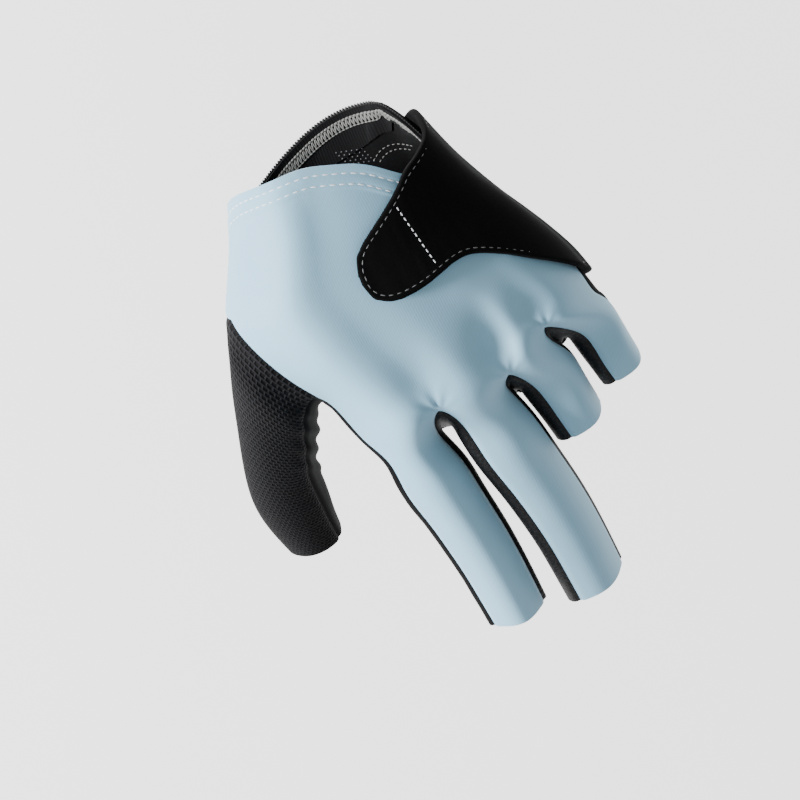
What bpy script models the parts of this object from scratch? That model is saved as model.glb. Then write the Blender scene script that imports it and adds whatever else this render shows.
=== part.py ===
"""A left-hand billiard glove in the shape it has when worn: four open fingers, an open thumb and a closing strap.

Frame: metres. The origin is the middle of the wrist opening, +Y leaves it along the forearm, so the fingers point
along -Y. +Z is the back of the hand, and -X is the thumb's side.

One control cage describes the outer skin of the whole glove. It is subdivided and cut along its seams into panels, and
each panel becomes a wall of its own thickness. The strap and the two patches are slabs laid over that skin.
"""

import math
from typing import NamedTuple

import bpy
import numpy as np
from mathutils import Vector
from mathutils.bvhtree import BVHTree

# Body of the glove
BODY_LENGTH = 0.077
WRIST_WIDTH = 0.0576
KNUCKLE_WIDTH = 0.0825
WRIST_DEPTH = 0.042
KNUCKLE_DEPTH = 0.026
CROSS_FALL = 0.008
KNUCKLE_RISE = 0.0012
VALLEY_DEPTH = 0.0028
SIDE_TUCK = 0.002
CUFF_BAND_HEIGHT = 0.0085

# Fingers, from the crotches to their open tips
INDEX_LENGTH = 0.0720
INDEX_WIDTH = 0.0218
INDEX_HEIGHT = 0.0215
MIDDLE_LENGTH = 0.0755
MIDDLE_WIDTH = 0.0232
MIDDLE_HEIGHT = 0.0220
RING_LENGTH = 0.0258
RING_WIDTH = 0.0191
RING_HEIGHT = 0.0205
LITTLE_LENGTH = 0.0252
LITTLE_WIDTH = 0.0173
LITTLE_HEIGHT = 0.0185

# Walls, seams and clearances
BACK_WALL = 0.0010
PALM_WALL = 0.0012
BAND_WALL = 0.0018
THUMB_WALL = 0.0015
GUSSET_WALL = 0.0010
STRAP_WALL = 0.0020
HOOK_WALL = 0.0008
PAD_WALL = 0.0012
SEAM_GAP = 0.0006
LAY_GAP = 0.0003
RING_LEAN = 0.5

# Strap and patches
STRAP_LENGTH_STEPS = 34
STRAP_CROSS_STEPS = 9
STRAP_AXIS_X = 0.010
STRAP_AXIS_Z = 0.002
PAD_WIDTH = 0.0180
PAD_LENGTH = 0.0520
PAD_CENTRE_X = 0.0182
PAD_CENTRE_Y = -0.0340

FIT_ROUNDS = 5
SUBDIVISIONS = 1


class Finger(NamedTuple):
    """One finger tube. Its root is a share of KNUCKLE_WIDTH across and of KNUCKLE_DEPTH up, and its centre drifts
    towards the ulnar side and drops by shares of its length."""

    name: str
    root_across: float
    root_level: float
    length: float
    width: float
    height: float
    taper: float
    drift: float
    drop: float
    roll_deg: float
    near_lift_deg: float
    near_drop_deg: float
    far_lift_deg: float
    far_drop_deg: float


FINGERS = (
    Finger("index", -0.209, 0.404, INDEX_LENGTH, INDEX_WIDTH, INDEX_HEIGHT, 0.215, 0.066, 0.347, 0, 3, 22, 9, 22),
    Finger("middle", 0.070, 0.462, MIDDLE_LENGTH, MIDDLE_WIDTH, MIDDLE_HEIGHT, 0.150, 0.090, 0.373, 18, 23, 23, 12, 24),
    Finger("ring", 0.329, 0.262, RING_LENGTH, RING_WIDTH, RING_HEIGHT, 0.090, 0.112, 0.336, 27, 24, 24, 8, 22),
    Finger("little", 0.552, 0.077, LITTLE_LENGTH, LITTLE_WIDTH, LITTLE_HEIGHT, 0.110, 0.119, 0.317, 32, 22, 22, 6, 18),
)


class BodyRow(NamedTuple):
    """A cross-section of the body. along is a share of BODY_LENGTH from the wrist towards the fingers."""

    along: float
    shift: float
    spread: float
    level: float
    thin: float
    left_up: float
    left_down: float
    right_up: float
    right_down: float


BODY = (
    BodyRow(-0.04, -0.036, -0.02, 0.00, 0.00, 0.10, -0.32, 0.30, -0.32),
    BodyRow(0.13, -0.045, 0.34, 0.01, -0.09, 0.06, -0.36, 0.28, -0.34),
    BodyRow(0.27, -0.061, 0.73, 0.02, -0.19, 0.00, -0.44, 0.26, -0.34),
    BodyRow(0.36, -0.068, 1.01, 0.03, -0.22, -0.03, -0.52, 0.24, -0.34),
    BodyRow(0.45, -0.041, 1.12, 0.06, -0.18, 0.22, -0.66, 0.22, -0.33),
    BodyRow(0.53, -0.012, 1.15, 0.10, -0.12, 0.36, -0.70, 0.20, -0.32),
    BodyRow(0.65, 0.036, 1.15, 0.17, 0.06, 0.42, -0.58, 0.15, -0.30),
    BodyRow(0.78, 0.088, 1.07, 0.27, 0.33, 0.31, -0.22, 0.10, -0.28),
    BodyRow(0.91, 0.122, 0.99, 0.36, 0.64, 0.22, -0.12, 0.06, -0.27),
    BodyRow(1.05, 0.155, 1.00, 0.43, 1.00, 0.24, -0.04, 0.02, -0.27),
)


class Ray(NamedTuple):
    """A line between two finger rays, from the cuff's edge to the crotch: shares across, and along BODY_LENGTH."""

    hem_across: float
    hem_along: float
    crotch_across: float
    crotch_along: float


BACK_RAYS = (
    Ray(0.000, -0.060, 0.000, 1.020),
    Ray(0.390, -0.068, 0.283, 1.000),
    Ray(0.680, 0.025, 0.560, 1.008),
    Ray(0.850, 0.180, 0.773, 0.920),
    Ray(1.000, 0.310, 1.000, 0.920),
)
PALM_RAYS = (
    Ray(0.000, 0.035, 0.000, 1.050),
    Ray(0.360, -0.020, 0.283, 1.130),
    Ray(0.660, -0.052, 0.560, 1.140),
    Ray(0.870, -0.066, 0.773, 1.060),
    Ray(1.000, -0.045, 1.000, 0.980),
)

# Rows of the cage: how far each lies from the cuff's edge to the crotches
ROW_SHARES = (0.0, 0.105, 0.21, 0.32, 0.42, 0.53, 0.64, 0.76, 0.88, 1.0)
# The radial edge has its own rows, because the thumb's seam runs between rows THUMB_FIRST and THUMB_LAST
BACK_EDGE_ALONG = (-0.060, 0.09, 0.23, 0.364, 0.46, 0.56, 0.67, 0.77, 0.90, 1.02)
PALM_EDGE_ALONG = (0.035, 0.13, 0.24, 0.370, 0.47, 0.58, 0.70, 0.82, 0.94, 1.05)
THUMB_FIRST, THUMB_LAST = 3, 7


class FingerRing(NamedTuple):
    """A ring of a finger: shares of its length, of its whole drift and drop, and of its taper."""

    along: float
    drift: float
    fall: float
    narrow: float


LONG_RINGS = (
    FingerRing(0.10, 0.04, 0.03, 0.90),
    FingerRing(0.24, 0.28, 0.12, 0.40),
    FingerRing(0.40, 0.56, 0.25, 0.55),
    FingerRing(0.56, 0.79, 0.42, 0.66),
    FingerRing(0.71, 0.93, 0.61, 0.78),
    FingerRing(0.86, 0.98, 0.81, 0.88),
    FingerRing(1.00, 1.00, 1.00, 1.00),
)
SHORT_RINGS = (
    FingerRing(0.26, 0.15, 0.12, 0.30),
    FingerRing(0.62, 0.65, 0.52, 0.55),
    FingerRing(1.00, 1.00, 1.00, 1.00),
)

RINGS = {"index": LONG_RINGS, "middle": LONG_RINGS, "ring": SHORT_RINGS, "little": SHORT_RINGS}

# Thumb: its centre runs from the middle of its seam, out to the side, along and down
THUMB_LENGTH = 0.0592
THUMB_REACH = 0.0172
THUMB_DROP = 0.0290
THUMB_WIDTH = 0.0225
THUMB_HEIGHT = 0.0225
THUMB_ROLL_DEG = -18
THUMB_LIFT_DEG = 22


class ThumbRing(NamedTuple):
    """A ring of the thumb: shares of its reach, length and drop, of its width and height, and its turn from +X."""

    reach: float
    along: float
    fall: float
    wide: float
    tall: float
    turn_deg: float


THUMB_RINGS = (
    ThumbRing(0.28, 0.11, 0.05, 1.38, 1.26, -60),
    ThumbRing(0.45, 0.23, 0.15, 1.24, 1.18, -52),
    ThumbRing(0.64, 0.37, 0.29, 1.10, 1.10, -42),
    ThumbRing(0.84, 0.52, 0.47, 1.00, 1.03, -29),
    ThumbRing(0.97, 0.69, 0.68, 1.00, 0.98, -16),
    ThumbRing(1.00, 0.85, 0.85, 0.92, 0.90, -10),
    ThumbRing(0.96, 1.00, 1.00, 0.80, 0.82, -4),
)


class StrapStation(NamedTuple):
    """The strap at an angle round the hand, 90 over the back and 0 at the ulnar side: its edges along BODY_LENGTH."""

    angle_deg: float
    upper: float
    lower: float


STRAP = (
    StrapStation(-36, 0.010, 0.820),
    StrapStation(-24, -0.005, 0.860),
    StrapStation(-10, -0.010, 0.875),
    StrapStation(4, 0.005, 0.815),
    StrapStation(22, 0.035, 0.690),
    StrapStation(38, 0.075, 0.585),
    StrapStation(53, 0.105, 0.530),
    StrapStation(68, 0.130, 0.520),
    StrapStation(82, 0.172, 0.530),
    StrapStation(95, 0.207, 0.540),
    StrapStation(107, 0.240, 0.543),
    StrapStation(116, 0.268, 0.538),
    StrapStation(122, 0.292, 0.523),
    StrapStation(126, 0.318, 0.498),
    StrapStation(128.5, 0.350, 0.464),
    StrapStation(129.5, 0.390, 0.424),
)
HOOK_ANGLES_DEG = (82, 122)

# Panels: seam tag, wall and finish
PANELS = {
    "back_panel": BACK_WALL,
    "palm_panel": PALM_WALL,
    "cuff_band": BAND_WALL,
    "thumb_back": THUMB_WALL,
    "thumb_front": PALM_WALL,
    "gusset_index_middle": GUSSET_WALL,
    "gusset_middle_ring": GUSSET_WALL,
    "gusset_ring_little": GUSSET_WALL,
}
TAGS = {name: tag for tag, name in enumerate(PANELS)}
GUSSETS = [name for name in PANELS if name.startswith("gusset")]


class Finish(NamedTuple):
    colour: tuple
    roughness: float


FINISHES = {
    "pale_blue_jersey": Finish((0.38, 0.55, 0.64), 0.62),
    "black_microfibre": Finish((0.012, 0.012, 0.013), 0.78),
    "black_air_mesh": Finish((0.020, 0.020, 0.021), 0.70),
    "black_elastic": Finish((0.010, 0.010, 0.011), 0.65),
    "black_neoprene": Finish((0.008, 0.008, 0.009), 0.60),
    "black_hook_tape": Finish((0.015, 0.015, 0.016), 0.50),
}
NODE_FINISH = {
    "back_panel": "pale_blue_jersey",
    "cuff_band": "black_elastic",
    "thumb_back": "black_air_mesh",
    "closing_strap": "black_neoprene",
    "hook_patch": "black_hook_tape",
}


def column(rows, name):
    """One named column of a table, as an array."""
    return np.array([getattr(row, name) for row in rows], float)


def smooth_through(at, stations, values):
    """A smooth curve through the values at rising stations, flat beyond the ends."""
    slopes = np.gradient(values, stations)
    i = np.clip(np.searchsorted(stations, at) - 1, 0, len(stations) - 2)
    span = stations[i + 1] - stations[i]
    t = np.clip((at - stations[i]) / span, 0.0, 1.0)
    rise = (3 - 2 * t) * t * t
    return (
        values[i] * (1 - rise)
        + values[i + 1] * rise
        + slopes[i] * span * t * (1 - t) ** 2
        - slopes[i + 1] * span * (1 - t) * t * t
    )


def body(name, along):
    return smooth_through(along, column(BODY, "along"), column(BODY, name))


def edges_x(along):
    """The body's radial and ulnar edges."""
    middle = body("shift", along) * KNUCKLE_WIDTH
    half = (WRIST_WIDTH + (KNUCKLE_WIDTH - WRIST_WIDTH) * body("spread", along)) / 2
    return middle - half, middle + half


def arch(across):
    """0 at both edges of the body and 1 over its middle."""
    return (1 - np.abs(2 * across - 1) ** 2.3) ** (1 / 2.3)


def body_point(along, across, on_back):
    """A point of the body's skin, on the back or the palm."""
    left, right = edges_x(along)
    depth = WRIST_DEPTH + (KNUCKLE_DEPTH - WRIST_DEPTH) * body("thin", along)
    level = body("level", along) * KNUCKLE_DEPTH
    side = "up" if on_back else "down"
    left_z = body(f"left_{side}", along) * KNUCKLE_DEPTH
    right_z = body(f"right_{side}", along) * KNUCKLE_DEPTH
    base = left_z + (right_z - left_z) * across
    fall = CROSS_FALL * body("spread", along) * (0.5 - across)
    crown = level + (depth / 2 + fall if on_back else -depth / 2)
    tuck = 0 if on_back else SIDE_TUCK * (1 - 2 * across) * abs(1 - 2 * across)
    x = left + (right - left) * across + tuck
    return np.array([x, -along * BODY_LENGTH, base + (crown - base) * arch(across)])


class Cage:
    """The control cage of the skin: the points that it has to pass through, and faces tagged with their panel."""

    def __init__(self):
        self.points = []
        self.index = {}
        self.faces = []
        self.tags = []

    def put(self, key, point):
        self.index[key] = len(self.points)
        self.points.append(point)

    def face(self, panel, *keys):
        self.faces.append([self.index[key] for key in keys])
        self.tags.append(TAGS[panel])


def add_body_points(cage):
    """Rows of nine points on the back and on the palm: the rays' borders, and the crown of each ray between them."""
    for side, rays, edge in (("back", BACK_RAYS, BACK_EDGE_ALONG), ("palm", PALM_RAYS, PALM_EDGE_ALONG)):
        on_back = side == "back"
        for row, share in enumerate(ROW_SHARES):
            across = [r.hem_across + (r.crotch_across - r.hem_across) * share for r in rays]
            along = [r.hem_along + (r.crotch_along - r.hem_along) * share for r in rays]
            along[0] = edge[row]
            for col in range(9):
                ray = col // 2
                if col % 2:
                    a = (along[ray] + along[ray + 1]) / 2
                    s = (across[ray] + across[ray + 1]) / 2
                    point = body_point(a, s, on_back)
                    point[2] += KNUCKLE_RISE * share**4 if on_back else 0
                else:
                    point = body_point(along[ray], across[ray], on_back)
                    inner = 0 < col < 8
                    point[2] -= VALLEY_DEPTH * share**4 * (1 if on_back else -0.6) * inner
                cage.put((side, row, col), point)


def add_body_faces(cage):
    last = len(ROW_SHARES) - 1
    for row in range(last):
        for col in range(8):
            b = [("back", row, col), ("back", row + 1, col), ("back", row + 1, col + 1), ("back", row, col + 1)]
            p = [("palm", r, c) for _, r, c in reversed(b)]
            cage.face("back_panel", *b)
            cage.face("cuff_band" if row == 0 else "palm_panel", *p)
        if not THUMB_FIRST <= row < THUMB_LAST:
            radial = "back_panel" if row < THUMB_FIRST else "palm_panel"
            cage.face(
                radial, ("back", row, 0), ("palm", row, 0), ("palm", row + 1, 0), ("back", row + 1, 0)
            )
        ulnar = "cuff_band" if row == 0 else "palm_panel"
        cage.face(ulnar, ("back", row, 8), ("back", row + 1, 8), ("palm", row + 1, 8), ("palm", row, 8))


def ring_points(centre, across, normal, width, height, angles_deg):
    """Points of an elliptical ring at angles from its `across` direction."""
    turns = np.radians(angles_deg)
    return [
        centre + across * (width / 2 * math.cos(t)) + normal * (height / 2 * math.sin(t))
        for t in turns
    ]


def unit(v):
    return v / np.linalg.norm(v)


def finger_key(finger, ring, side, j):
    """The key of a finger's point. Its ring 0 is the last row of the body."""
    if ring == 0:
        return (side, len(ROW_SHARES) - 1, 2 * finger + j)
    return ("finger", finger, ring, side, j)


def finger_root_along(finger):
    rays = BACK_RAYS[finger : finger + 2]
    return max(rays[0].crotch_along, rays[1].crotch_along)


def add_finger(cage, number, finger):
    rings = RINGS[finger.name]
    across, level = finger.root_across * KNUCKLE_WIDTH, finger.root_level * KNUCKLE_DEPTH
    root = np.array([across, -finger_root_along(number) * BODY_LENGTH, level])
    reach = np.array([finger.drift, -1, -finger.drop]) * finger.length
    path = [root] + [root + reach * (r.drift, r.along, r.fall) for r in rings]
    roll = math.radians(finger.roll_deg)
    upright = np.array([math.sin(roll), 0.0, math.cos(roll)])
    for k, ring in enumerate(rings, start=1):
        ahead = unit(path[min(k + 1, len(rings))] - path[k - 1])
        leaning = upright - ahead * (upright @ ahead)
        normal = unit(upright + (leaning - upright) * RING_LEAN)
        across = unit(np.cross(normal, ahead))
        slim = 1 - finger.taper * ring.narrow
        sizes = (finger.width * slim, finger.height * slim)
        back = (180 - finger.near_lift_deg, 90, finger.far_lift_deg)
        palm = (180 + finger.near_drop_deg, 270, -finger.far_drop_deg)
        for side, angles in (("back", back), ("palm", palm)):
            for j, point in enumerate(ring_points(path[k], across, normal, *sizes, angles)):
                cage.put(finger_key(number, k, side, j), point)
    near = "palm_panel" if number == 0 else GUSSETS[number - 1]
    far = "palm_panel" if number == 3 else GUSSETS[number]
    for k in range(len(rings)):
        def key(ring, side, j, number=number):
            return finger_key(number, ring, side, j)

        for j in (0, 1):
            cage.face(
                "back_panel", key(k, "back", j), key(k + 1, "back", j), key(k + 1, "back", j + 1), key(k, "back", j + 1)
            )
            cage.face(
                "palm_panel", key(k, "palm", j + 1), key(k + 1, "palm", j + 1), key(k + 1, "palm", j), key(k, "palm", j)
            )
        cage.face(near, key(k, "back", 0), key(k, "palm", 0), key(k + 1, "palm", 0), key(k + 1, "back", 0))
        cage.face(far, key(k, "back", 2), key(k + 1, "back", 2), key(k + 1, "palm", 2), key(k, "palm", 2))


def thumb_key(ring, m):
    """The key of the thumb's point m of ten. Ring 0 is its seam: five points of the back, then five of the palm."""
    if ring == 0:
        return ("back", THUMB_FIRST + m, 0) if m < 5 else ("palm", THUMB_LAST + 5 - m, 0)
    return ("thumb", ring, m)


def add_thumb(cage):
    seam = [cage.points[cage.index[thumb_key(0, m)]] for m in range(10)]
    root = (seam[0] + seam[4] + seam[5] + seam[9]) / 4
    reach = np.array([-THUMB_REACH, -THUMB_LENGTH, -THUMB_DROP])
    path = [root] + [root + reach * (r.reach, r.along, r.fall) for r in THUMB_RINGS]
    lift = THUMB_LIFT_DEG
    angles = [180 - lift, 124, 90, 56, lift, -lift, -56, -90, -124, lift - 180]
    roll = math.radians(THUMB_ROLL_DEG)
    for k, ring in enumerate(THUMB_RINGS, start=1):
        ahead = unit(path[min(k + 1, len(THUMB_RINGS))] - path[k - 1])
        turn = math.radians(ring.turn_deg)
        across = np.array([math.cos(turn), math.sin(turn), 0.0])
        normal = unit(np.cross(ahead, across))
        normal *= 1 if normal[2] > 0 else -1
        rolled = across * math.cos(roll) - normal * math.sin(roll)
        normal = normal * math.cos(roll) + across * math.sin(roll)
        sizes = (THUMB_WIDTH * ring.wide, THUMB_HEIGHT * ring.tall)
        for m, point in enumerate(ring_points(path[k], rolled, normal, *sizes, angles)):
            cage.put(thumb_key(k, m), point)
    for k in range(len(THUMB_RINGS)):
        for m in range(10):
            n = (m + 1) % 10
            panel = "thumb_back" if m in (9, 0, 1, 2, 3) else "thumb_front"
            cage.face(panel, thumb_key(k, m), thumb_key(k + 1, m), thumb_key(k + 1, n), thumb_key(k, n))


def new_object(name, points, faces, material=None):
    mesh = bpy.data.meshes.new(name)
    mesh.from_pydata([tuple(map(float, p)) for p in points], [], [list(map(int, f)) for f in faces])
    mesh.update()
    if material:
        mesh.materials.append(material)
        mesh.shade_smooth()
        mesh.set_sharp_from_angle(angle=math.radians(50))
    made = bpy.data.objects.new(name, mesh)
    bpy.context.scene.collection.objects.link(made)
    return made


def evaluated(made):
    bpy.context.view_layer.update()
    return made.evaluated_get(bpy.context.evaluated_depsgraph_get()).data


def coordinates(mesh):
    co = np.empty(len(mesh.vertices) * 3, np.float32)
    mesh.vertices.foreach_get("co", co)
    return co.reshape(-1, 3).astype(float)


def make_skin(cage):
    """The subdivided skin. The cage is moved until the smooth surface passes through its given points."""
    guide = new_object("skin_guide", cage.points, cage.faces)
    guide.data.polygons.foreach_set("material_index", cage.tags)
    guide.hide_render = True
    guide.display_type = "WIRE"
    smooth = guide.modifiers.new("skin", "SUBSURF")
    smooth.levels = smooth.render_levels = SUBDIVISIONS
    wanted = np.array(cage.points)
    control = wanted.copy()
    for _ in range(FIT_ROUNDS):
        reached = coordinates(evaluated(guide))[: len(wanted)]
        control += wanted - reached
        guide.data.vertices.foreach_set("co", control.astype(np.float32).ravel())
        guide.data.update()
    return guide


class Skin:
    """The evaluated skin as arrays, and a tree to lay other pieces on it."""

    def __init__(self, guide):
        mesh = evaluated(guide)
        self.points = coordinates(mesh)
        self.normals = np.array([v.normal for v in mesh.vertices])
        self.faces = [list(p.vertices) for p in mesh.polygons]
        self.tags = [p.material_index for p in mesh.polygons]
        self.tree = BVHTree.FromPolygons([Vector(p) for p in self.points], self.faces)


def border_edges(faces):
    """The edges that only one of the faces has, in that face's direction."""
    sides = {(f[i - 1], f[i]) for f in faces for i in range(len(f))}
    return [side for side in sides if (side[1], side[0]) not in sides]


def inset_border(points, faces, by):
    """The points with the border drawn back into the panel, so that neighbouring panels keep a seam gap."""
    owner = {(f[i - 1], f[i]): f for f in faces for i in range(len(f))}
    pull = {}
    for a, b in border_edges(faces):
        corners = points[owner[(a, b)]]
        face_normal = np.cross(corners[2] - corners[0], corners[3] - corners[1])
        inward = unit(np.cross(face_normal, points[b] - points[a]))
        for v in (a, b):
            pull.setdefault(v, []).append(inward)
    moved = points.copy()
    for v, pulls in pull.items():
        mean = sum(pulls) / len(pulls)
        moved[v] += mean * by / max(float(mean @ mean), 0.25)
    return moved


def panel_solid(skin, name):
    """One panel of the skin as a closed wall. The skin's own normals give its thickness, so seams line up."""
    faces = [f for f, tag in zip(skin.faces, skin.tags) if tag == TAGS[name]]
    outer = inset_border(skin.points, faces, SEAM_GAP / 2)
    inner = outer - skin.normals * PANELS[name]
    return slab_object(name, outer, inner, faces)


def slab_object(name, outer, inner, faces):
    """A closed solid between two skins that share their faces."""
    used = sorted({v for f in faces for v in f})
    place = {v: i for i, v in enumerate(used)}
    top = [[place[v] for v in f] for f in faces]
    low = [[place[v] + len(used) for v in reversed(f)] for f in faces]
    rim = [
        [place[b], place[a], place[a] + len(used), place[b] + len(used)] for a, b in border_edges(faces)
    ]
    points = np.concatenate([np.asarray(outer)[used], np.asarray(inner)[used]])
    return new_object(name, points, top + low + rim, material_of(name))


def material_of(node):
    name = NODE_FINISH.get(node, "black_microfibre")
    made = bpy.data.materials.get(name)
    if made is None:
        made = bpy.data.materials.new(name)
        made.use_nodes = True
        shader = made.node_tree.nodes["Principled BSDF"]
        shader.inputs["Base Color"].default_value = (*FINISHES[name].colour, 1)
        shader.inputs["Roughness"].default_value = FINISHES[name].roughness
    return made


class Form:
    """The hand's form under the strap: radii about the strap's axis, by station along the body and by angle."""

    def __init__(self, skin):
        self.along = np.linspace(-0.06, 1.0, 28)
        self.angles = np.radians(np.arange(-180, 181, 4.0))
        across = (1 - np.cos(np.linspace(0, math.pi, 31))) / 2
        self.radii = []
        for along in self.along:
            back = [body_point(along, s, True) for s in across]
            palm = [body_point(along, s, False) for s in across]
            ring = np.array(palm + back[::-1]) - (STRAP_AXIS_X, 0, STRAP_AXIS_Z)
            angle = np.arctan2(ring[:, 2], ring[:, 0])
            radii = np.interp(self.angles, angle, np.hypot(ring[:, 0], ring[:, 2]), period=2 * math.pi)
            start = Vector((STRAP_AXIS_X, -along * BODY_LENGTH, STRAP_AXIS_Z))
            for i, turn in enumerate(self.angles):
                hit = skin.tree.ray_cast(start, Vector((math.cos(turn), 0, math.sin(turn))))
                radii[i] = max(radii[i], hit[3] or 0)
            self.radii.append(stretched_round(self.angles, radii))

    def point(self, angle, along):
        radius = float(np.interp(along, self.along, [np.interp(angle, self.angles, r) for r in self.radii]))
        return np.array(
            (
                STRAP_AXIS_X + radius * math.cos(angle),
                -along * BODY_LENGTH,
                STRAP_AXIS_Z + radius * math.sin(angle),
            )
        )


def stretched_round(angles, radii):
    """The radii of a band drawn tight round a section: the section's convex hull, seen from the axis."""
    turn = angles[:, None] - angles[None, :]
    hull = np.full(len(angles), np.inf)
    for lean in np.radians(np.arange(-60, 61, 5.0)):
        support = np.max(radii[None, :] * np.cos(turn + lean), axis=1)
        hull = np.minimum(hull, support / math.cos(lean))
    return np.maximum(radii, hull)


def grid_faces(rows, cols):
    return [
        [r * cols + c, (r + 1) * cols + c, (r + 1) * cols + c + 1, r * cols + c + 1]
        for r in range(rows - 1)
        for c in range(cols - 1)
    ]


def grid_normals(grid):
    """Outward normals of a grid of points, rows by columns."""
    by_row = np.gradient(grid, axis=0)
    by_col = np.gradient(grid, axis=1)
    normal = np.cross(by_row, by_col)
    return normal / np.linalg.norm(normal, axis=2, keepdims=True)


def seated(grid, skin, clearance):
    """The grid lifted off the skin, until every corner, edge and face of the skin under it is that clear of it."""
    reach = 3 * STRAP_WALL
    corners = [skin.points[f] for f in skin.faces]
    samples = [(p, n) for p, n in zip(skin.points, skin.normals)]
    for face, corner in zip(skin.faces, corners):
        normal = unit(skin.normals[face].sum(axis=0))
        samples.append((corner.mean(axis=0), normal))
        samples += [((corner[i - 1] + corner[i]) / 2, normal) for i in range(len(face))]
    rows, cols = grid.shape[:2]
    faces = grid_faces(rows, cols)
    normal = grid_normals(grid)
    lift = np.array(clearance, float)[:, None] * np.ones(cols)
    need = lift.copy()
    for _ in range(5):
        raised = grid + normal * lift[:, :, None]
        tree = BVHTree.FromPolygons([Vector(p) for p in raised.reshape(-1, 3)], faces)
        more = np.zeros(rows * cols)
        for point, out in samples:
            start = Vector(point - out * reach)
            _, _, face, distance = tree.ray_cast(start, Vector(out), 2 * reach)
            if face is None:
                continue
            corner = faces[face]
            short = need.reshape(-1)[corner[0]] - (distance - reach)
            if short > 0:
                more[corner] = np.maximum(more[corner], short)
        lift += more.reshape(rows, cols)
    return grid + normal * lift[:, :, None]


def slab_on(name, grid, low, high):
    """A slab between two heights over a grid of points."""
    normal = grid_normals(grid)
    rows, cols = grid.shape[:2]
    outer = (grid + normal * high).reshape(-1, 3)
    inner = (grid + normal * low).reshape(-1, 3)
    return slab_object(name, outer, inner, grid_faces(rows, cols))


def strap_grid(form, angles_deg):
    """Points on the hand's form between the strap's edges."""
    stations = column(STRAP, "angle_deg")
    rows = []
    for angle in angles_deg:
        upper = smooth_through(angle, stations, column(STRAP, "upper"))
        lower = smooth_through(angle, stations, column(STRAP, "lower"))
        rows.append([form.point(math.radians(angle), a) for a in np.linspace(upper, lower, STRAP_CROSS_STEPS)])
    return np.array(rows)


def add_strap(skin):
    """The closing strap, sewn under the palm's ulnar edge and wrapped over the back, and the hook tape under its tab."""
    first, last = STRAP[0].angle_deg, STRAP[-1].angle_deg
    share = np.linspace(0, 1, STRAP_LENGTH_STEPS)
    angles = first + (last - first) * (1 - (1 - share) ** 1.25)
    rise = np.clip((angles - 15) / (HOOK_ANGLES_DEG[0] - 15), 0, 1)
    clearance = LAY_GAP + (LAY_GAP + HOOK_WALL) * rise
    grid = seated(strap_grid(Form(skin), angles), skin, clearance)
    slab_on("closing_strap", grid, 0, STRAP_WALL)
    held = np.flatnonzero((angles >= HOOK_ANGLES_DEG[0]) & (angles <= HOOK_ANGLES_DEG[1]))
    tape = grid[held[0] : held[-1] + 1, 1:-1]
    slab_on("hook_patch", tape, -LAY_GAP - HOOK_WALL, -LAY_GAP)


def add_palm_pad(skin):
    """The reinforcing pad under the heel of the palm, a rounded rectangle laid on the outside of the palm."""
    rows = []
    for v in np.linspace(-0.99, 0.99, 15):
        half = PAD_WIDTH / 2 * (1 - abs(v) ** 4) ** 0.25
        row = []
        for x in PAD_CENTRE_X + half * np.linspace(-1, 1, 8):
            y = PAD_CENTRE_Y + v * PAD_LENGTH / 2
            below = skin.tree.ray_cast(Vector((x, y, -1)), Vector((0, 0, 1)))[0]
            row.append(np.array(below))
        rows.append(row)
    grid = seated(np.array(rows), skin, np.full(len(rows), LAY_GAP))
    slab_on("palm_pad", grid, 0, PAD_WALL)


def main():
    for old in list(bpy.data.objects):
        bpy.data.objects.remove(old)
    cage = Cage()
    add_body_points(cage)
    add_body_faces(cage)
    for number, finger in enumerate(FINGERS):
        add_finger(cage, number, finger)
    add_thumb(cage)
    skin = Skin(make_skin(cage))
    for name in PANELS:
        panel_solid(skin, name)
    add_strap(skin)
    add_palm_pad(skin)


main()
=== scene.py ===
"""Looks of the billiard glove: a cuff-to-fingertip jersey back, a microfibre palm, a mesh thumb and a closing strap.

The glove's skin is the part's own: the same cage is subdivided further here, and each panel gets its wall, its seams,
its folds and its stitches from it. Every piece replaces the CAD node of the same panel.
"""

import math
from typing import NamedTuple

import bpy
import numpy as np
from mathutils import Matrix, Vector, noise
from mathutils.bvhtree import BVHTree
from mathutils.kdtree import KDTree


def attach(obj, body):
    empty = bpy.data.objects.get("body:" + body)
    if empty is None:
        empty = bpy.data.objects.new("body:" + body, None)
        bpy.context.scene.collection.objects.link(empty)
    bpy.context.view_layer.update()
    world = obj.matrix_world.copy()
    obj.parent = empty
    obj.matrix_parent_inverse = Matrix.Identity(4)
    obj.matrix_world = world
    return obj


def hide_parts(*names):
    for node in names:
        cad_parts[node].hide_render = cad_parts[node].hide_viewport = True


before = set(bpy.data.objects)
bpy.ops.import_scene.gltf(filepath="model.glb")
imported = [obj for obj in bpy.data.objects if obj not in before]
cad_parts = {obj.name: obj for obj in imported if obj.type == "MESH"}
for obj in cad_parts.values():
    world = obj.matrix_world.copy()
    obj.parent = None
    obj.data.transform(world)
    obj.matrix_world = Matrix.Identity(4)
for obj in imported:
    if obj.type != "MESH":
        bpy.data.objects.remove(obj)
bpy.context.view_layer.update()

MM = 0.001

# Body of the glove
BODY_LENGTH = 0.077
WRIST_WIDTH = 0.0576
KNUCKLE_WIDTH = 0.0825
WRIST_DEPTH = 0.042
KNUCKLE_DEPTH = 0.026
CROSS_FALL = 0.008
KNUCKLE_RISE = 0.0012
VALLEY_DEPTH = 0.0028
SIDE_TUCK = 0.002

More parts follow.
